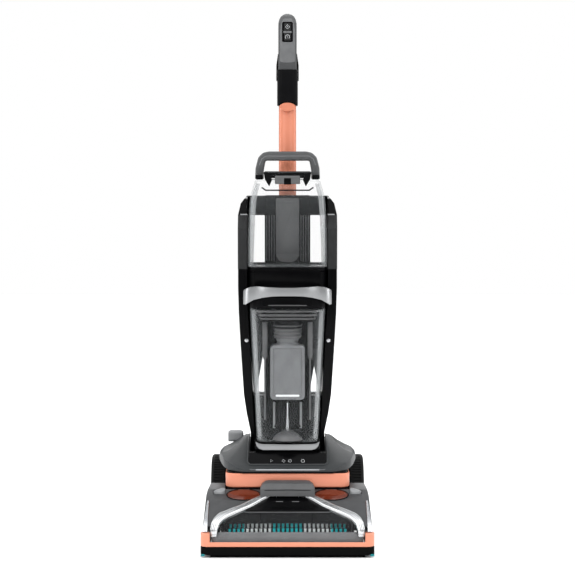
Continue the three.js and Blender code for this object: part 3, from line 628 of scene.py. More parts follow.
def refined(node, width=0.8, steps=2, degrees=30, clamp=False, finish=None, dressed=True):
    """A merged copy of a node with its flat faces rejoined and its edges rounded."""
    piece = loose_copy(frame["nodes"][node], node + "_finished")
    open_mesh(piece, "VERT")
    bpy.ops.mesh.select_all(action="SELECT")
    bpy.ops.mesh.remove_doubles(threshold=2e-5)
    bpy.ops.mesh.dissolve_limited(angle_limit=math.radians(1))
    bpy.ops.object.mode_set(mode="OBJECT")
    if width:
        soften(piece, width, steps, degrees, clamp)
    else:
        smooth(piece, degrees)
    if dressed:
        dress(piece, BODY_OF[node], finish or SLOT_OF[node], node, slot=SLOT_OF[node])
    return piece


# ---- Settings ------------------------------------------------------------------------------------
def colour_property(name, description, default):
    return FloatVectorProperty(
        name=name, description=description, default=default, subtype="COLOR", size=3, min=0, max=1
    )


class CleanerColours(bpy.types.PropertyGroup):
    """Colours of the moulded and painted parts."""

    copper: colour_property("Copper", "Band and frame", (0.63, 0.225, 0.135))
    tube: colour_property("Tube", "Handle tube", (0.55, 0.19, 0.112))
    gloss_black: colour_property("Gloss black", "Pods and face panel", (0.002, 0.002, 0.0023))
    satin_black: colour_property("Satin black", "Frame and covers", (0.0035, 0.0035, 0.004))
    rubber: colour_property("Rubber", "Bumper, lip and wheels", (0.003, 0.003, 0.003))
    hood_grey: colour_property("Hood grey", "Hood of the foot", (0.03, 0.0325, 0.034))
    housing_grey: colour_property("Housing grey", "Front corners", (0.03, 0.031, 0.033))
    grip_grey: colour_property("Grip grey", "Grip and carry handle", (0.055, 0.056, 0.058))
    grip_face: colour_property("Grip face", "Lighter front of the grip", (0.105, 0.107, 0.11))
    pale_grey: colour_property("Pale grey", "Pedal and tabs", (0.19, 0.195, 0.2))
    silver: colour_property("Silver", "Nozzle arms", (0.62, 0.63, 0.64))
    bail: colour_property("Bail", "Bail and the strip at the dock", (0.26, 0.265, 0.27))
    clear: colour_property("Clear", "Tank walls", (0.5, 0.53, 0.54))
    # Colour of the sheets that paint the bright refraction of the tanks' thick clear side walls.
    clear_band: colour_property("Clear edge", "Thick side walls of the tanks", (0.36, 0.37, 0.375))
    smoke: colour_property("Smoke", "Nozzle cover", (0.1, 0.104, 0.108))
    amber: colour_property("Amber", "Corner lenses", (0.115, 0.02, 0.008))
    teal: colour_property("Teal", "Bristles", (0.0, 0.62, 0.66))
    tuft_white: colour_property("White bristles", "Bristles between the teal", (0.9, 0.93, 0.93))
    float_grey: colour_property("Float grey", "Tank float", (0.13, 0.135, 0.14))
    column_grey: colour_property("Column grey", "Column behind the clean tank", (0.075, 0.076, 0.078))
    floor: colour_property("Floor", "Studio floor", (0.93, 0.93, 0.93))


class CleanerSizes(bpy.types.PropertyGroup):
    """Sizes of the surface detail."""

    edge: FloatProperty(
        name="Edge rounding",
        description="Rounding of the foot tub's edges, in millimetres",
        default=0.8,
        min=0.1,
        max=3,
    )
    tank_wall: FloatProperty(
        name="Tank wall", description="Wall of both tanks, in millimetres", default=2.5, min=1, max=4
    )
    tread_ribs: IntProperty(
        name="Tread ribs", description="Ribs round each rear wheel", default=74, min=24, max=120
    )
    tufts: IntProperty(
        name="Tufts", description="Tufts along each row of a brush", default=27, min=9, max=60
    )
    column_ribs: IntProperty(
        name="Column ribs", description="Ribs on each side of the column", default=4, min=1, max=8
    )


# ---- Stage ---------------------------------------------------------------------------------------
def area_light(name, place, aim, size, power):
    """A soft light at a place, turned to a point."""
    deselect()
    bpy.ops.object.light_add(type="AREA", location=place)
    lamp = named(name)
    lamp.rotation_euler = (Vector(aim) - Vector(place)).to_track_quat("-Z", "Y").to_euler()
    lamp.data.shape = "RECTANGLE"
    lamp.data.size, lamp.data.size_y = size
    lamp.data.energy = power


class CLEANER_OT_stage(bpy.types.Operator):
    """Lays the floor and sets up the camera and the soft lights"""

    bl_idname = "cleaner.stage"
    bl_label = "Stage"

    def execute(self, context):
        colours = context.scene.cleaner_colours
        deselect()
        bpy.ops.mesh.primitive_grid_add(x_subdivisions=4, y_subdivisions=4, size=16)
        floor = named("studio_floor")
        material, shader = new_material("studio_floor", colours.floor, 0.7)
        vary_roughness(material, shader, grain(material, 60), 0.66, 0.74)
        floor.data.materials.append(material)

        world = bpy.data.worlds.new("studio")
        context.scene.world = world
        world.use_nodes = True
        nodes = world.node_tree.nodes
        fill = nodes["Background"]
        place = nodes.new("ShaderNodeTexCoord")
        split = nodes.new("ShaderNodeSeparateXYZ")
        sky = nodes.new("ShaderNodeValToRGB")
        sky.color_ramp.elements[0].position = 0.1
        sky.color_ramp.elements[0].color = (0.1, 0.1, 0.1, 1)
        sky.color_ramp.elements[1].position = 0.75
        sky.color_ramp.elements[1].color = (0.75, 0.76, 0.77, 1)
        links = world.node_tree.links
        links.new(place.outputs["Generated"], split.inputs["Vector"])
        links.new(split.outputs["Z"], sky.inputs["Fac"])
        links.new(sky.outputs["Color"], fill.inputs["Color"])
        seen = nodes.new("ShaderNodeBackground")
        seen.inputs["Color"].default_value = (1, 1, 1, 1)
        path = nodes.new("ShaderNodeLightPath")
        blend = nodes.new("ShaderNodeMixShader")
        links.new(path.outputs["Is Camera Ray"], blend.inputs["Fac"])
        links.new(fill.outputs["Background"], blend.inputs[1])
        links.new(seen.outputs["Background"], blend.inputs[2])
        links.new(blend.outputs["Shader"], nodes["World Output"].inputs["Surface"])

        deselect()
        bpy.ops.object.light_add(type="SUN", location=(0, -1, 3))
        sun = named("soft_sky")
        sun.rotation_euler = Vector((0, 0.55, -1)).to_track_quat("-Z", "Y").to_euler()
        sun.data.energy = 2.5
        sun.data.angle = math.radians(100)
        area_light("key_left", (-1.9, -2.4, 1.5), (0, 0, 0.5), (0.5, 2.0), 26)
        area_light("key_right", (1.9, -2.4, 1.5), (0, 0, 0.5), (0.5, 2.0), 20)
        area_light("edge_left", (-2.4, 0.4, 1.1), (0, 0, 0.55), (0.5, 2.0), 26)
        area_light("edge_right", (2.4, 0.4, 1.1), (0, 0, 0.55), (0.5, 2.0), 26)
        area_light("back_light", (0, 3.0, 1.8), (0, 0, 0.6), (2.4, 1.6), 40)

        deselect()
        turn = math.radians(90 - CAMERA_TILT)
        bpy.ops.object.camera_add(location=CAMERA_PLACE, rotation=(turn, 0, 0))
        camera = named("front_camera")
        camera.data.lens = CAMERA_LENS
        camera.data.sensor_width = 36
        camera.data.clip_end = 60
        camera.data.dof.use_dof = False
        context.scene.camera = camera
        context.scene.view_settings.view_transform = "Standard"
        return {"FINISHED"}


# ---- Foot ----------------------------------------------------------------------------------------
class CLEANER_OT_hood(bpy.types.Operator):
    """Models the grey hood of the foot with its raised rim"""

    bl_idname = "cleaner.hood"
    bl_label = "Hood"

    def execute(self, context):
        hood = plate("hood_shell", "z", mirror_outline(HOOD_PLAN), 150, 214, corner=14)
        meet(hood, plate("front_view", "y", mirror_outline(HOOD_SIDE), -120, 110))
        slice_off(hood, (0, -70, 165), (0, -32, 70))
        slice_off(hood, (0, -93, 158), (0, -7, 23))
        slice_off(hood, (0, 0, 197), (0, -6.5, 30))
        slice_off(hood, (0, 30, 203.5), (0, 1.5, 55))
        soften(hood, 5, 5, 11)
        cut(hood, block("hood_opening", (-79, -76, 140), (79, 90, 220)))
        soften(hood, 1.2, 3, 50)
        dress(hood, "foot", "hood_grey_plastic", "foot_hood")
        right = [(80.6, 84, 201.4), (80.6, 30, 202.9), (80.6, 0, 196.2), (80.6, -70, 164.8)]
        rim = [mm(*p) for p in right] + [mm(76, -77.4, 162.2), mm(-76, -77.4, 162.2)]
        rim += [mm(-x, y, z) for x, y, z in reversed(right)]
        dress(bead("hood_rim", rim, 2.0), "foot", "hood_grey_plastic")
        # Two beads along the front lower edge, lighter than the hood, paint the highlight there: a wide
        # faint one and a narrower bright one.
        for name, half, radius in (("wide", 96, 1.5), ("bright", 64, 1.6)):
            lip = [mm(x, -93.2 + max(0, abs(x) - 72) * 0.5, 154) for x in range(-half, half + 1, 8)]
            dress(bead("hood_lip_" + name, lip, radius), "foot", "hood_lip_" + name)
        return {"FINISHED"}


def icon_ring(name, centre, radius, sides):
    """A thin outline sign, lying in the plane of the fascia's slope."""
    x, y, z = centre
    points = []
    for i in range(sides):
        a = 2 * HALF_TURN * i / sides
        u, v = radius * math.cos(a), radius * math.sin(a)
        points.append(mm(x + u, y + v * FASCIA_BACK, z + v * FASCIA_UP))
    return bead(name, points, 0.28, closed=True, steps=1)


class CLEANER_OT_fascia(bpy.types.Operator):
    """Finishes the black fascia in the hood and its four outline signs"""

    bl_idname = "cleaner.fascia"
    bl_label = "Fascia"

    def execute(self, context):
        refined("hood_panel", 1.2, 3)
        signs = [(-33, 3), (-8, 4), (5, 5), (31, 24)]
        for index, (x, sides) in enumerate(signs):
            sign = icon_ring(f"fascia_sign_{index + 1}", (x, -68.7, 168.4), 3.4, sides)
            dress(sign, "foot", "icon_white")
        return {"FINISHED"}


class CLEANER_OT_front(bpy.types.Operator):
    """Finishes the front corners, the copper parts, the bumper and their trim"""

    bl_idname = "cleaner.front"
    bl_label = "Foot front"

    def execute(self, context):
        edge = context.scene.cleaner_sizes.edge
        refined("foot_chassis", edge)
        refined("copper_band", 2.2, 4)
        refined("copper_frame", 1.8, 3)
        refined("front_bumper", 1.6, 3)
        refined("suction_lip", 0.8, 2)
        for side, sign in (("left", -1), ("right", 1)):
            refined("side_housing_" + side, 1.2, 3, 40, clamp=True, finish="housing_grey")
            refined("lens_" + side, 0.8, 3, 40)
            self.release_tab(side, sign)
            self.lens_rim(side, sign)
            self.chrome_trim(side, sign)
            self.edge_bristles(side, sign)
            self.tab_ribs(side, sign)
        return {"FINISHED"}

    def lens_rim(self, side, sign):
        """A dark line round the lens, open where the lens runs under the hood."""
        points = [deck_point(sign * x, y, 1.0) for x, y in oval(88, -110, 34.2, 17.6, 56)]
        points = [p for p in points if p.y < -0.0935]
        start = max(range(len(points)), key=lambda i: (points[i] - points[i - 1]).length)
        points = points[start:] + points[:start]
        dress(bead("lens_rim_" + side, points, 0.9), "foot", "gloss_black_plastic")

    def chrome_trim(self, side, sign):
        """Three bright ribs along the outer edge, closing up towards the back."""
        ribs = []
        for i in range(3):
            line = []
            for y in range(-202, -129, 9):
                back = (y + 202) / 72
                line.append(deck_point(sign * (158.4 + 3.1 * i - back * (1 + 2.3 * i)), y, 0.7))
            ribs.append(bead("rib", line, 1.8))
        dress(joined("chrome_trim_" + side, ribs), "foot", "bright_steel")

    def edge_bristles(self, side, sign):
        """A comb of nine short strands at the front corner."""
        strands = []
        for i in range(9):
            x = 162 + 0.85 * i
            line = [mm(sign * x, -212.6, 9), mm(sign * (x + 0.5), -213.6, 3.4)]
            strands.append(bead("strand", line, 0.42))
        base = block("edge_bristle_base_" + side, (161, -213.6, 8), (169, -211, 11), 0.6)
        if sign < 0:
            base.data.transform(MIRROR_X)
            base.data.flip_normals()
        dress(joined("edge_bristles_" + side, strands), "foot", "edge_teal")
        dress(base, "foot", "black_rubber")

    def release_tab(self, side, sign):
        """A rounded tab that thins towards the outside."""
        tab = plate("release_tab_wing_" + side, "z", oval(sign * 137, -99.5, 11.5, 6.4, 32), 98, 118)
        slice_off(tab, (sign * 131, 0, 117.6), (sign * 0.3, 0, 1))
        slice_off(tab, (0, -104.5, 112), (0, -1, 1.1))
        soften(tab, 1.4, 3, 25)
        dress(tab, "release_tab_" + side, "pale_grey_plastic", "release_tab_" + side)

    def tab_ribs(self, side, sign):
        """Four finger ribs that follow the tab's slope."""
        ribs = []
        for i in range(4):
            x = 130 + 4.6 * i
            z = 117.2 - 0.3 * max(0, x - 131)
            ribs.append(bead("rib", [mm(sign * x, -98.5, z), mm(sign * x, -94.8, z)], 0.5))
        dress(joined("release_tab_ribs_" + side, ribs), "release_tab_" + side, "pale_grey_plastic")


class CLEANER_OT_wheels(bpy.types.Operator):
    """Models the ribbed rear wheels and finishes the rollers and the pedal"""

    bl_idname = "cleaner.wheels"
    bl_label = "Wheels and pedal"

    def execute(self, context):
        ribs = context.scene.cleaner_sizes.tread_ribs
        tyre = [(0, 12), (13, 12), (14, 10), (49, 10), (51, 16.6), (53, 17), (68, 17), (72, 15.6)]
        tyre += [(74.4, 13), (75, 10.5)]
        tyre += [(r, -d) for r, d in reversed(tyre)]
        wheel = turned("wheel_right_tread", "x", tyre, WHEEL_CENTRE, ribs * 2)
        centre = mm(*WHEEL_CENTRE)
        open_mesh(wheel)
        pitch = HALF_TURN / ribs

        def groove(face):
            """Every second strip of the tread."""
            away = face.calc_center_median() - centre
            tread = abs(face.normal.x) < 0.1 and math.hypot(away.y, away.z) > 0.074
            turn = math.atan2(away.z, away.y) / pitch
            return tread and math.floor(turn + 0.001) % 2 == 0

        pick(wheel, groove)
        bpy.ops.mesh.inset(thickness=0.0001, depth=-0.0018)
        close_mesh()
        soften(wheel, 0.5, 2, 32)
        right, left = with_twin(wheel, "wheel_left_tread")
        dress(right, "wheel_right", "wheel_plastic", "wheel_right")
        dress(left, "wheel_left", "wheel_plastic", "wheel_left")
        cap_line = [(0, 5), (8, 4.6), (12.6, 2.6), (14, -2), (14, -6), (0, -6)]
        for side, sign in (("right", 1), ("left", -1)):
            line = [(r, sign * d) for r, d in cap_line]
            cap = turned("wheel_cap_" + side, "x", line, (sign * 157, *WHEEL_CENTRE[1:]), 36)
            dress(smooth(cap, 40), "wheel_" + side, "hood_grey_plastic")
            refined("front_roller_" + side, 0.8, 2)
        refined("rear_axle", 0.6, 2)
        refined("recline_pedal", 3.0, 5, 20)
        grips = []
        for i in range(5):
            y, z = 103 + 6 * i, 206.6 - 1.3 * i
            grips.append(bead("grip", [mm(-122, y, z), mm(-98, y, z)], 0.9))
        dress(joined("pedal_grips", grips), "recline_pedal", "pale_grey_plastic")
        return {"FINISHED"}


class CLEANER_OT_brushes(bpy.types.Operator):
    """Models the two brush rolls with their slanting rows of tufts"""

    bl_idname = "cleaner.brushes"
    bl_label = "Brush rolls"

    def execute(self, context):
        count = context.scene.cleaner_sizes.tufts
        tuft = self.one_tuft()
        for roll, y in (("front", -168), ("rear", -117)):
            body = roll + "_brush"
            line = [(0, -149.5), (5, -149.5), (5, -149), (10, -149), (10, -135), (5, -135)]
            line += [(5, -124), (17.4, -124), (17.4, -119), (16, -117), (16, 117), (17.4, 119)]
            line += [(17.4, 124), (5, 124), (5, 130.5), (0, 130.5)]
            core = turned(roll + "_brush_core", "x", line, (0, y, BRUSH_Z), 32)
            soften(core, 0.5, 2, 40)
            dress(core, body, "satin_black_plastic", roll + "_brush_roll")
            tufts = []
            for row in range(5):
                for i in range(count):
                    x = -114 + 228 * i / (count - 1)
                    turn = math.radians(72 * row) + abs(x) * 0.2 / 117
                    spot = Matrix.Translation(mm(x, y, BRUSH_Z)) @ Matrix.Rotation(turn, 4, "X")
                    tufts.append(copied(tuft, "tuft", spot))
            dress(joined(roll + "_brush_tufts", tufts), body, "bristle_nylon")
        bpy.data.objects.remove(tuft)
        return {"FINISHED"}

    def one_tuft(self):
        """A splayed bundle of strands along +Z."""
        strands = []
        for i in range(7):
            a = 2 * HALF_TURN * i / 6
            x, y = (0, 0) if i == 6 else (1.1 * math.cos(a), 1.1 * math.sin(a))
            deselect()
            bpy.ops.mesh.primitive_cone_add(
                vertices=4, radius1=0.75 * MM, radius2=0.45 * MM, depth=11 * MM, location=mm(x, y, 18.2)
            )
            strand = settle(named("strand"))
            open_mesh(strand, "VERT")
            pick(strand, lambda vert: vert.co.z > 0.02, "verts")
            bpy.ops.transform.translate(value=mm(x, y, 0))
            bpy.ops.object.mode_set(mode="OBJECT")
            strands.append(strand)
        return joined("tuft_pattern", strands)


class CLEANER_OT_works(bpy.types.Operator):
    """Finishes the motor, the belt and the water parts inside the foot"""

    bl_idname = "cleaner.works"
    bl_label = "Works inside the foot"

    def execute(self, context):
        for node in ("brush_motor", "suction_motor", "impeller", "water_pump", "steam_heater"):
            refined(node, 1.0, 2)
        for node in ("brush_belt", "motor_pulley", "foot_duct", "spray_bar"):
            refined(node, 0.4, 2)
        fins = []
        for i in range(9):
            z = 20 + 6 * i
            line = [(48.2, z - 0.8), (51, z - 0.8), (51, z + 0.8), (48.2, z + 0.8)]
            fins.append(turned("fin", "z", line, (0, 15, 0), 40, ring=True))
        dress(smooth(joined("suction_motor_fins", fins)), "foot", "motor_metal")
        outer = [(-203.4, 27), (-199.6, 43.2), (-195.6, 48)]
        inner = [(y + 1.6, z - 1.0) for y, z in reversed(outer)]
        shroud = plate("brush_shroud", "x", outer + inner, -149, 149)
        dress(soften(shroud, 0.4, 2), "foot", "grip_face_grey")
        return {"FINISHED"}


class CLEANER_OT_nozzle(bpy.types.Operator):
    """Finishes the nozzle cover: smoked window, ribbed arms and the latch"""

    bl_idname = "cleaner.nozzle"
    bl_label = "Nozzle cover"

    def execute(self, context):
        refined("nozzle_window", 0.6, 2, 40)
        self.latch()
        self.upper_panel()
        for side, sign in (("left", -1), ("right", 1)):
            refined("nozzle_arm_" + side, 2.0, 4, 40)
            ribs = []
            for share in (0.45, 0.66, 0.87):
                ribs.append(bead("rib", self.arm_line(sign, share, 5.1), 0.45))
            dress(joined("nozzle_arm_ribs_" + side, ribs), "nozzle_cover", "gloss_black_plastic")
            edge = [deck_point(sign * (x - 0.8), y, 0.6) for x, y in ARM_INNER]
            dress(bead("window_edge_" + side, edge, 0.7), "nozzle_cover", "gloss_black_plastic")
        strip = [deck_point(x, -160, 0.5) for x in range(-85, 86, 17)]
        dress(bead("window_strip", strip, 0.9), "nozzle_cover", "column_grey")
        for name, x in (("left", -53), ("right", 49)):
            seam = [deck_point(x, y, 0.25) for y in (-204, -198, -190, -175, -160, -140)]
            dress(bead("window_seam_" + name, seam, 0.35), "nozzle_cover", "gloss_black_plastic")
        front = [mm(x, -208.2, 27.4) for x in range(-141, 142, 47)]
        dress(bead("window_front_edge", front, 1.2), "nozzle_cover", "gloss_black_plastic")
        groove = [mm(x, -124.2, 118.6 - abs(x) * 0.02) for x in range(-46, 47, 23)]
        dress(bead("latch_line", groove, 0.6), "nozzle_cover", "gloss_black_plastic")
        return {"FINISHED"}

    def latch(self):
        """The arched bridge that joins the two arms."""
        side = [(-95, 104), (-95, 134), (-104, 134), (-116, 130), (-124, 120.5), (-124, 105)]
        bridge = plate("latch_bridge", "x", side, -57, 57)
        front = [(54.5, 104), (54.5, 121), (51, 128), (44, 133), (38, 134)]
        meet(bridge, plate("front_view", "y", mirror_outline(front), -130, -90))
        slice_off(bridge, (0, -110, 111.8), (0, 16, -36))
        soften(bridge, 2.2, 4, 25)
        dress(bridge, "nozzle_cover", "grip_grey_plastic", "nozzle_latch", slot=SLOT_OF["nozzle_latch"])
        plug = block("latch_tongue", (-29, -113, 106), (29, -99, 122), 0.8)
        dress(plug, "nozzle_cover", "gloss_black_plastic")

    def upper_panel(self):
        """Black panel on the window between the arms, with two small vents."""
        plan = [(36, -121), (72, -146), (84, -157)]
        panel = plate("window_upper_panel", "z", mirror_outline(plan), 70, 120, corner=2)
        lifted = [tuple(deck_point(0, y, 1.6) / MM)[1:] for y in (-190, -160, -128, -94)]
        seat = [tuple(deck_point(0, y, 0.3) / MM)[1:] for y in (-94, -128, -160, -190)]
        meet(panel, plate("sheet", "x", lifted + seat, -100, 100))
        dress(soften(panel, 0.5, 2), "nozzle_cover", "gloss_black_plastic")
        for name, x in (("left", -16), ("right", 16)):
            line = [deck_point(x - 7, -133, 2), deck_point(x + 7, -133, 2)]
            dress(bead("panel_vent_" + name, line, 1.0), "nozzle_cover", "column_grey")

    def arm_line(self, sign, share, lift):
        """A line along an arm, at a share of the way from its inner to its outer edge."""
        line = []
        for (xi, yi), (xo, yo) in zip(ARM_INNER, ARM_OUTER):
            x, y = xi + (xo - xi) * share, yi + (yo - yi) * share
            line.append(deck_point(sign * x, y, lift))
        return line


# ---- Upright -------------------------------------------------------------------------------------
class CLEANER_OT_frame(bpy.types.Operator):
    """Finishes the body's frame, the dock, and the ribbed column behind the clean tank"""

    bl_idname = "cleaner.frame"
    bl_label = "Body frame"

    def execute(self, context):
        refined("body_frame", 1.2, 3)
        refined("dock_shelf", 2.5, 4)
        refined("mid_housing", 1.2, 3)
        refined("face_panel", 1.0, 3)
        refined("control_board", 0.3, 1)
        shield = [(24, 700), (24, 582), (19, 572), (10, 567.5)]
        cover = plate("column_cover", "y", mirror_outline(shield), 28.9, 31, corner=3)
        slot = plate("slot", "y", rectangle(-12, 688, 12, 691.5), 28, 29.8, corner=1.2)
        line = plate("line", "y", rectangle(-24, 584, 24, 585.2), 28, 29.5)
        cut(cover, slot, line)
        dress(soften(cover, 0.5, 2), "upright", "column_grey")
        count = context.scene.cleaner_sizes.column_ribs
        rib = block("column_rib", (26.6, 39, 570), (28.8, 45.8, 664), 0.6)
        ribs = [copied(rib, "rib", Matrix.Translation(mm(5.2 * i, 0, 0))) for i in range(count)]
        ribs += [copied(r, "rib", MIRROR_X) for r in list(ribs)]
        bpy.data.objects.remove(rib)
        dress(joined("column_ribs", ribs), "upright", "column_grey")
        right = [(50, 189), (57.5, 191.5), (62.6, 197), (65, 206), (62.6, 205), (58.5, 202.4), (50, 201)]
        strip = plate("dock_strip", "y", mirror_outline(right), -59.6, -57.4)
        dress(soften(strip, 0.7, 3), "upright", "bail_silver")
        return {"FINISHED"}


class CLEANER_OT_pods(bpy.types.Operator):
    """Finishes the side pods with their textured skins, pale bars and knobs"""

    bl_idname = "cleaner.pods"
    bl_label = "Side pods"

    def execute(self, context):
        for side, sign in (("left", -1), ("right", 1)):
            node = "side_pod_" + side
            pod = refined(node, 2.2, 4, 25)
            self.skin(pod, "pod_skin_" + side, 558, 666.4)
            dome = [(0, -4.6), (3.2, -4.4), (4.4, -3), (4.6, 0), (0, 0)]
            knob = turned("pod_knob_" + side, "y", dome, (sign * 82.6, -60.6, 413), 24)
            dress(smooth(knob, 40), "upright", "bright_steel")
            x = sign * 88
            bar = block("pod_light_" + side, (x - 7, -63, 666.6), (x + 7, -58, 669), 0.8)
            dress(bar, "upright", "pale_grey_plastic")
        return {"FINISHED"}

    def skin(self, pod, name, low, high):
        """A textured band that stands a little proud of the pod."""
        band = loose_copy(pod, name)
        slice_off(band, (0, 0, high), (0, 0, 1))
        slice_off(band, (0, 0, low), (0, 0, -1))
        slice_off(band, (0, 60, 0), (0, 1, 0))
        open_mesh(band)
        bpy.ops.mesh.select_all(action="SELECT")
        bpy.ops.transform.shrink_fatten(value=0.0005)
        bpy.ops.object.mode_set(mode="OBJECT")
        smooth(band, 35)
        dress(band, "upright", "skin_grey")


class CLEANER_OT_back(bpy.types.Operator):
    """Finishes the rear cover, its screws and vents, the cord hook and the hose port"""

    bl_idname = "cleaner.back"
    bl_label = "Rear cover"

    def execute(self, context):
        refined("rear_cover", 1.6, 3)
        refined("cord_hook", 1.6, 3)
        refined("cord_gland", 0.6, 2)
        refined("hose_port_cap", 1.4, 3)
        rings = []
        for i in range(5):
            r, d = 6.4 - 0.3 * i, 9.6 + 3.4 * i
            line = [(r, d - 0.6), (r + 0.5, d), (r, d + 0.6), (r - 1, d)]
            rings.append(turned("ring", "y", line, (-50, 122.4, 190), 24, ring=True))
        dress(smooth(joined("gland_rings", rings)), "upright", "black_rubber")
        head = [(0, -0.6), (3.4, -0.6), (4.4, 0.4), (4.4, 1.4), (3.4, 1.8)]
        head += [(1.4, 1.8), (1.4, 0.8), (0, 0.8)]
        screw = smooth(turned("screw", "y", head, (0, 122, 0), 20), 40)
        heads = []
        for x, z in ((82, 690), (88, 530), (80, 300), (58, 170)):
            for spot in (mm(-x, 0, z), mm(x, 0, z)):
                heads.append(copied(screw, "head", Matrix.Translation(spot)))
        bpy.data.objects.remove(screw)
        dress(joined("rear_screws", heads), "upright", "bright_steel")
        vents = []
        for i in range(9):
            z = 440 + 8 * i
            vents.append(block("vent", (-34, 121.6, z), (34, 123.6, z + 3.4), 0.9))
        dress(joined("rear_vents", vents), "upright", "gloss_black_plastic")
        return {"FINISHED"}


class CLEANER_OT_handle(bpy.types.Operator):
    """Models the looped grip with its control panel, and finishes the tube and the collar"""

    bl_idname = "cleaner.handle"
    bl_label = "Handle"

    def execute(self, context):
        refined("handle_tube", 0.5, 2, 40)
        refined("handle_collar", 1.6, 3, 40)
        arch = plate("tube_shoulder", "y", oval(0, 889, 16.6, 8.6, 40), 52.4, 62)
        dress(smooth(arch), "upright", "copper_tube")
        refined("trigger", 1.6, 3)
        outer = [(98.6, 966.4), (98.6, 938), (118, 938), (134, 955), (148, 990), (151, 1030)]
        outer += [(139, 1060), (112, 1080), (86, 1084), (64, 1076), (54, 1062), (54, 966.4)]
        grip = plate("grip_loop", "x", outer, -19, 19)
        front = [(19, 936), (19, 1052), (18.8, 1061), (17.2, 1069), (13.6, 1076), (8.6, 1081)]
        front += [(3, 1083.6)]
        meet(grip, plate("front_view", "y", mirror_outline(front), 0, 200))
        hole = [(84, 985), (84, 1040), (92, 1054), (108, 1056), (121, 1046), (125, 1025), (122, 1000)]
        hole += [(108, 975), (94, 970)]
        cut(grip, plate("finger_hole", "x", hole, -40, 40, corner=6))
        soften(grip, 5, 5, 24)
        cut(grip, block("trigger_slot", (-10.5, 110, 981), (10.5, 135, 1050)))
        self.cut_pockets(grip, 7.6, 60.6)
        smooth(grip, 35)
        dress(grip, "upright", "grip_grey_plastic", "grip_shell")
        panel = plate("control_panel", "y", rectangle(-11.3, 1022.6, 11.3, 1064.4), 53.4, 55, corner=3)
        self.cut_pockets(panel, 7.4, 60)
        dress(soften(panel, 0.4, 2), "upright", "gloss_black_plastic")
        for name, z in BUTTON_Z.items():
            refined("button_" + name, 0.7, 3)
            self.button_sign(name, z)
        bar = block("panel_bar", (-8.4, 52.9, 1041), (8.4, 54, 1045.6), 0.5)
        dress(bar, "upright", "grip_face_grey")
        self.wings()
        self.front_panel()
        return {"FINISHED"}

    def cut_pockets(self, piece, half, deep):
        """Cuts a square pocket behind each button, as far back as a y."""
        for z in BUTTON_Z.values():
            cut(piece, block("pocket", (-half, 50, z - half), (half, deep, z + half)))

    def button_sign(self, name, z):
        """A closed diamond on the upper button, an open ring on the lower one, each with a dot."""
        count, turn = (4, 0) if name == "upper" else (20, 1.6)
        points = [mm(4.4 * math.cos(a), 52.95, z + 4.4 * math.sin(a)) for a in self.turns(count, turn)]
        ring = bead("sign", points, 0.34, closed=name == "upper", steps=1)
        dot = turned("dot", "y", [(0, -0.3), (0.7, -0.1), (0.7, 0.3), (0, 0.3)], (0, 52.9, z), 12)
        dress(joined(f"button_{name}_sign", [ring, dot]), "button_" + name, "icon_white")

    def turns(self, count, gap):
        """Angles round a circle, with a gap at the bottom where the ring is open."""
        start = gap / 2 - HALF_TURN / 2 if gap else 0
        return [start + (2 * HALF_TURN - gap) * i / count for i in range(count + (gap > 0))]

    def wings(self):
        """Dark side cheeks where the loop's base meets the collar."""
        side = [(100, 931), (118, 933), (134, 955), (143, 985), (132, 1006), (112, 970), (100, 958)]
        cheek = plate("grip_cheek_right", "x", side, 17.6, 24, corner=3)
        front = [(16, 946.4), (23.6, 946.4), (23.6, 979), (22.4, 988), (20, 1006), (16, 1006)]
        meet(cheek, plate("front_view", "y", front, 90, 160))
        soften(cheek, 1.2, 3)
        for piece in with_twin(cheek, "grip_cheek_left"):
            dress(piece, "upright", "satin_black_plastic")

    def front_panel(self):
        """Lighter front face of the grip with a curved lower edge."""
        angles = (0, 0.5, 1.0, 1.57, 2.14, 2.64, 3.14)
        smile = [(16 * math.cos(a), 984 - 3.4 * math.sin(a)) for a in angles]
        top = [(-15.4, 1046), (-13, 1062), (-8, 1071), (8, 1071), (13, 1062), (15.4, 1046)]
        face = plate("grip_face", "y", smile + top, 53.75, 56)
        self.cut_pockets(face, 7.4, 60)
        dress(soften(face, 0.25, 2), "upright", "grip_face_grey")
        below = [(-17.2, 967)] + [(u, v - 1.2) for u, v in reversed(smile)] + [(17.2, 967)]
        band = plate("grip_band", "y", below, 53.6, 56)
        dress(soften(band, 0.3, 2), "upright", "housing_grey")


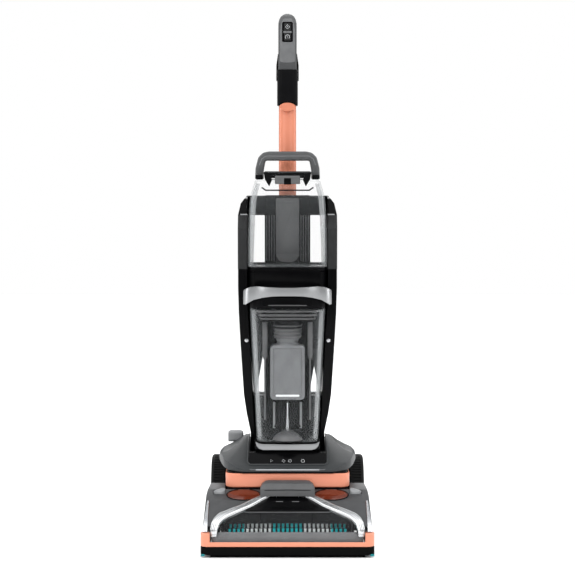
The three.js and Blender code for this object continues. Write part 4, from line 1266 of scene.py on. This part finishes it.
# ---- Tanks ---------------------------------------------------------------------------------------
class CLEANER_OT_clean_tank(bpy.types.Operator):
    """Models the clean-water tank, its carry handle and its fill lid"""

    bl_idname = "cleaner.clean_tank"
    bl_label = "Clean-water tank"

    def execute(self, context):
        wall = context.scene.cleaner_sizes.tank_wall
        levels = [(562, 80, -75, 28), (610, 80, -74, 28), (660, 78, -71, 28), (700, 75.5, -60, 28)]
        levels += [(738, 66, -42, 28)]
        tank = tower("clean_tank_wall", eased(levels), 20)
        soften(tank, 3, 4, 50)
        apply_modifier(tank, "SOLIDIFY", thickness=wall * MM, offset=-1)
        cut(tank, block("mouth", (-30, -38, 730), (30, -8, 745)))
        smooth(tank, 40)
        dress(tank, "clean_tank", "clear_plastic", "clean_tank_shell")
        refined("clean_tank_base", 1.2, 3)
        outer = mirror_outline([(66.8, 738.4), (65.6, 762), (60, 784), (50, 793.6), (38, 796)])
        handle = plate("carry_bow", "y", outer, 6, 28)
        inner = mirror_outline([(48.8, 730), (48.8, 758), (45, 777)])
        cut(handle, plate("hand_hole", "y", inner, 0, 40, corner=3))
        soften(handle, 4.6, 5, 20)
        dress(handle, "clean_tank", "grip_grey_plastic", "carry_handle")
        # A pale bead along the upper edge of the carry bow paints the highlight on that edge.
        painted_highlight_line = [mm(-57.5, 6.3, 768), mm(-53, 6.2, 780.6), mm(-44, 6.2, 786.4), mm(44, 6.2, 786.4)]
        painted_highlight_line += [mm(53, 6.2, 780.6), mm(57.5, 6.3, 768)]
        dress(bead("carry_bow_crease", painted_highlight_line, 0.55), "clean_tank", "pale_grey_plastic")
        refined("fill_lid", 1.6, 3)
        rim = [mm(x, -42.2, z) for x, z in mirror_outline([(36, 739), (47.3, 749.4), (47.4, 753.4)])]
        dress(bead("fill_lid_rim", rim, 0.8, closed=True), "fill_lid", "column_grey")
        latch = block("fill_latch", (-25.6, -49.4, 729), (25.6, -42.6, 746), 2)
        dress(latch, "fill_lid", "column_grey")
        gap = block("fill_latch_gap", (-7, -50.2, 728), (7, -48, 741), 0.8)
        dress(gap, "fill_lid", "gloss_black_plastic")
        bar = block("tank_top_bar", (-47, -36, 746.4), (47, -26, 755), 2)
        dress(bar, "fill_lid", "satin_black_plastic")
        fin = [(48, 752), (38, 752), (31, 738), (37, 724), (46, 739)]
        wing = soften(plate("lid_wing_right", "y", fin, -47.4, -43, corner=1.5), 0.8, 3)
        for piece in with_twin(wing, "lid_wing_left"):
            dress(piece, "fill_lid", "satin_black_plastic")
        line = [mm(-52, -46, 722), mm(-44, -51.6, 716.6), mm(44, -51.6, 716.6), mm(52, -46, 722)]
        dress(bead("tank_front_line", line, 1.5), "clean_tank", "satin_black_plastic")
        for side, sign in (("left", -1), ("right", 1)):
            low, high = sorted((sign * 50.5, sign * 65))
            hinge = block("lid_hinge_" + side, (low, -34, 738.6), (high, 4, 748), 2.2)
            dress(hinge, "clean_tank", "satin_black_plastic")
        pin = [(0, -46), (4, -46), (4, -38), (3, -37), (3, -16), (4, -15)]
        pin += [(r, -d) for r, d in reversed(pin)]
        pin = smooth(turned("lid_hinge_bar", "x", pin, (0, -7, 744.2), 24))
        dress(pin, "fill_lid", "gloss_black_plastic")
        edge = [(63.5, 730), (73, 700), (75.6, 660), (77.4, 610), (77.4, 565)]
        edge += [(69.5, 565), (68, 610), (66, 660), (63, 700), (56, 730)]
        # Sheets for the thick clear side walls, coloured light to paint the bright refraction those
        # walls show edge on.
        band = soften(plate("clean_tank_band_right", "y", edge, -36, -33), 0.8, 3)
        for piece in with_twin(band, "clean_tank_band_left"):
            dress(piece, "clean_tank", "clear_band")
        return {"FINISHED"}


class CLEANER_OT_dirty_tank(bpy.types.Operator):
    """Models the dirty-water tank, its bail, the separator and the float"""

    bl_idname = "cleaner.dirty_tank"
    bl_label = "Dirty-water tank"

    def execute(self, context):
        wall = context.scene.cleaner_sizes.tank_wall
        levels = [(205, 62, -62, 28), (240, 64.4, -72, 28), (300, 67, -85, 28), (390, 72, -92, 28)]
        levels += [(480, 76, -95, 28)]
        tank = tower("dirty_tank_wall", eased(levels), 24)
        soften(tank, 3, 4, 50)
        apply_modifier(tank, "SOLIDIFY", thickness=wall * MM, offset=-1)
        cut(tank, block("mouth", (-60, -80, 470), (60, 20, 485)))
        smooth(tank, 40)
        dress(tank, "dirty_tank", "clear_plastic", "dirty_tank_shell")
        refined("dirty_tank_lid", 1.6, 3)
        grip = block("lid_grip", (-39, -96.6, 481.5), (39, -84, 487), 1.2)
        dress(grip, "dirty_tank", "column_grey")
        self.bail()
        self.separator()
        self.tank_floor()
        self.risers()
        self.side_wall_sheens()
        self.float_box()
        return {"FINISHED"}

    def bail(self):
        """The curved silver bow across the tank's front, and its two feet."""
        bow = plate("bail", "z", oval(0, -78, 89, 45, 72), 488, 525)
        cut(bow, plate("inside", "z", oval(0, -78, 78, 33, 72), 480, 540))
        face = [(90, 488), (90, 513), (86, 518), (75, 523), (60, 525), (44, 524), (16, 522.6)]
        under = [(87, 480), (83, 489), (68, 498), (50, 503), (32, 505.6), (14, 506.4)]
        meet(bow, plate("front_view", "y", mirror_outline(face), -130, -78))
        cut(bow, plate("under", "y", mirror_outline(under), -130, -70))
        soften(bow, 2.4, 4, 28)
        foot = block("foot_right", (60, -100, 500.6), (75, -73, 507.6), 1.4)
        bail = joined("bail_bow", [bow] + with_twin(foot, "foot_left"))
        dress(bail, "dirty_tank", "bail_silver", "dirty_tank_handle", slot="silver_plastic")

    def separator(self):
        """The stack under the lid with its plates, and the float's guide sleeve."""
        refined("separator_stack", 0.8, 2)
        plates = []
        for low, high, half, front, rear, corner in (
            (471, 475.6, 64, -84, 20, 22),
            (463, 467.4, 60, -81, 17, 22),
            (456.4, 459.6, 56.5, -79.5, 16, 18),
        ):
            outline = rectangle(-half, front, half, rear)
            plates.append(soften(plate("ring", "z", outline, low, high, corner=corner), 1, 3))
        dress(joined("separator_plates", plates), "dirty_tank", "column_grey")
        line = [(25.6, 417), (27, 417)]
        for z in (420, 427, 434, 441):
            line += [(27, z), (29.4, z + 0.8), (29.4, z + 2.6), (27, z + 3.4)]
        line += [(27, 452), (25.6, 452)]
        sleeve = turned("float_guide_sleeve", "z", line, FLOAT_AXIS, 40, ring=True)
        dress(smooth(sleeve, 30), "dirty_tank", "column_grey")

    def tank_floor(self):
        """What stands in the bottom of the tank: the drain rod, the dome and its fans."""
        line = [(0, 210), (10, 210), (10, 213), (4.4, 219), (3.2, 226), (3.2, 284), (0, 285)]
        rod = turned("drain_rod", "z", line, FLOAT_AXIS, 28)
        dress(smooth(rod, 35), "dirty_tank", "bright_steel")
        blade = [(8, 210), (44, 210), (40, 222), (22, 233), (9, 226)]
        fan = soften(plate("base_fan_right", "y", blade, -52, -40, corner=3), 1.4, 3)
        fans = joined("tank_base_fans", with_twin(fan, "base_fan_left"))
        dress(fans, "dirty_tank", "gloss_black_plastic")
        line = [(0, 209), (31, 209), (30, 214), (24, 221), (14, 227), (0, 229.6)]
        dome = turned("tank_base_dome", "z", line, (0, -44, 0), 40)
        dress(smooth(dome, 60), "dirty_tank", "column_grey")

    def risers(self):
        """Dark and pale uprights in the tank, and the rails that guide the float."""
        dark = [plate("riser", "y", rectangle(8, 254, 21, 285.6), -58, -46, corner=1.5)]
        dark.append(bead("foot", [mm(14, -52, 256), mm(17, -52, 247), mm(25, -52, 235)], 3.2))
        dark += [copied(piece, "twin", MIRROR_X) for piece in list(dark)]
        dress(joined("tank_risers", dark), "dirty_tank", "gloss_black_plastic")
        pale = [bead("post", [mm(x, -50, 286), mm(x, -50, 233)], 2.4) for x in (-27, 27)]
        dress(joined("tank_posts", pale), "dirty_tank", "pale_grey_plastic")
        step = [(44, 250), (47.6, 250), (47.6, 372), (51, 380), (51, 452)]
        step += [(41, 452), (41, 380), (44, 372)]
        rail = soften(plate("rail_right", "y", step, -52, -42), 0.7, 2)
        rails = joined("guide_rails", with_twin(rail, "rail_left"))
        dress(rails, "dirty_tank", "column_grey")

    def side_wall_sheens(self):
        """Sheets that stand for the thick clear side walls of the tank, coloured light to paint the
        bright refraction those walls show edge on.
        """
        edge = [(72.6, 474), (66.5, 340), (61.5, 240), (58.5, 212), (52, 212), (53.6, 240)]
        edge += [(58.4, 340), (64.4, 474)]
        band = soften(plate("dirty_tank_band_right", "y", edge, -56, -53), 0.8, 3)
        for piece in with_twin(band, "dirty_tank_band_left"):
            dress(piece, "dirty_tank", "clear_band")

    def float_box(self):
        """The float, with a recessed front face and a ribbed neck."""
        box = plate("float_box", "y", rectangle(-35, 293, 35, 404), -70, -25, corner=9)
        open_mesh(box)
        pick(box, lambda face: face.normal.y < -0.99)
        bpy.ops.mesh.inset(thickness=0.006, depth=0)
        bpy.ops.mesh.inset(thickness=0.0016, depth=-0.003)
        close_mesh()
        soften(box, 2.2, 4, 30)
        line = [(0, 403), (23, 403), (23, 406), (21, 407.4), (21, 411), (23, 412.4), (23, 430)]
        line += [(21.4, 432), (0, 432)]
        neck = smooth(turned("float_neck", "z", line, FLOAT_AXIS, 40), 35)
        dress(joined("float_finished", [box, neck]), "tank_float", "float_plastic", "tank_float")
        # A pale bar low in the float's recessed face paints the highlight there.
        edge = block("float_edge", (-24, -69.4, 298.6), (24, -66, 303.4), 1.8)
        dress(edge, "tank_float", "icon_white")


# ---- Panel and registering -----------------------------------------------------------------------
PIECES = (
    CLEANER_OT_stage,
    CLEANER_OT_hood,
    CLEANER_OT_fascia,
    CLEANER_OT_front,
    CLEANER_OT_wheels,
    CLEANER_OT_brushes,
    CLEANER_OT_works,
    CLEANER_OT_nozzle,
    CLEANER_OT_frame,
    CLEANER_OT_pods,
    CLEANER_OT_back,
    CLEANER_OT_handle,
    CLEANER_OT_clean_tank,
    CLEANER_OT_dirty_tank,
)


class CLEANER_PT_panel(bpy.types.Panel):
    """Lists the pieces and the settings"""

    bl_idname = "CLEANER_PT_panel"
    bl_label = "Carpet cleaner"
    bl_space_type = "VIEW_3D"
    bl_region_type = "UI"
    bl_category = "Cleaner"

    def draw(self, context):
        for group in (context.scene.cleaner_colours, context.scene.cleaner_sizes):
            for key in group.bl_rna.properties.keys():
                if key not in {"rna_type", "name"}:
                    self.layout.prop(group, key)
        for piece in PIECES:
            self.layout.operator(piece.bl_idname)


CLASSES = (CleanerColours, CleanerSizes, *PIECES, CLEANER_PT_panel)


def register():
    for item in CLASSES:
        bpy.utils.register_class(item)
    bpy.types.Scene.cleaner_colours = PointerProperty(type=CleanerColours)
    bpy.types.Scene.cleaner_sizes = PointerProperty(type=CleanerSizes)


def unregister():
    del bpy.types.Scene.cleaner_sizes
    del bpy.types.Scene.cleaner_colours
    for item in reversed(CLASSES):
        bpy.utils.unregister_class(item)


def main():
    register()
    FINISHES.update(make_finishes(bpy.context.scene.cleaner_colours))
    for piece in PIECES:
        group, name = piece.bl_idname.split(".")
        getattr(getattr(bpy.ops, group), name)()
    deselect()


if __name__ == "__main__":
    main()
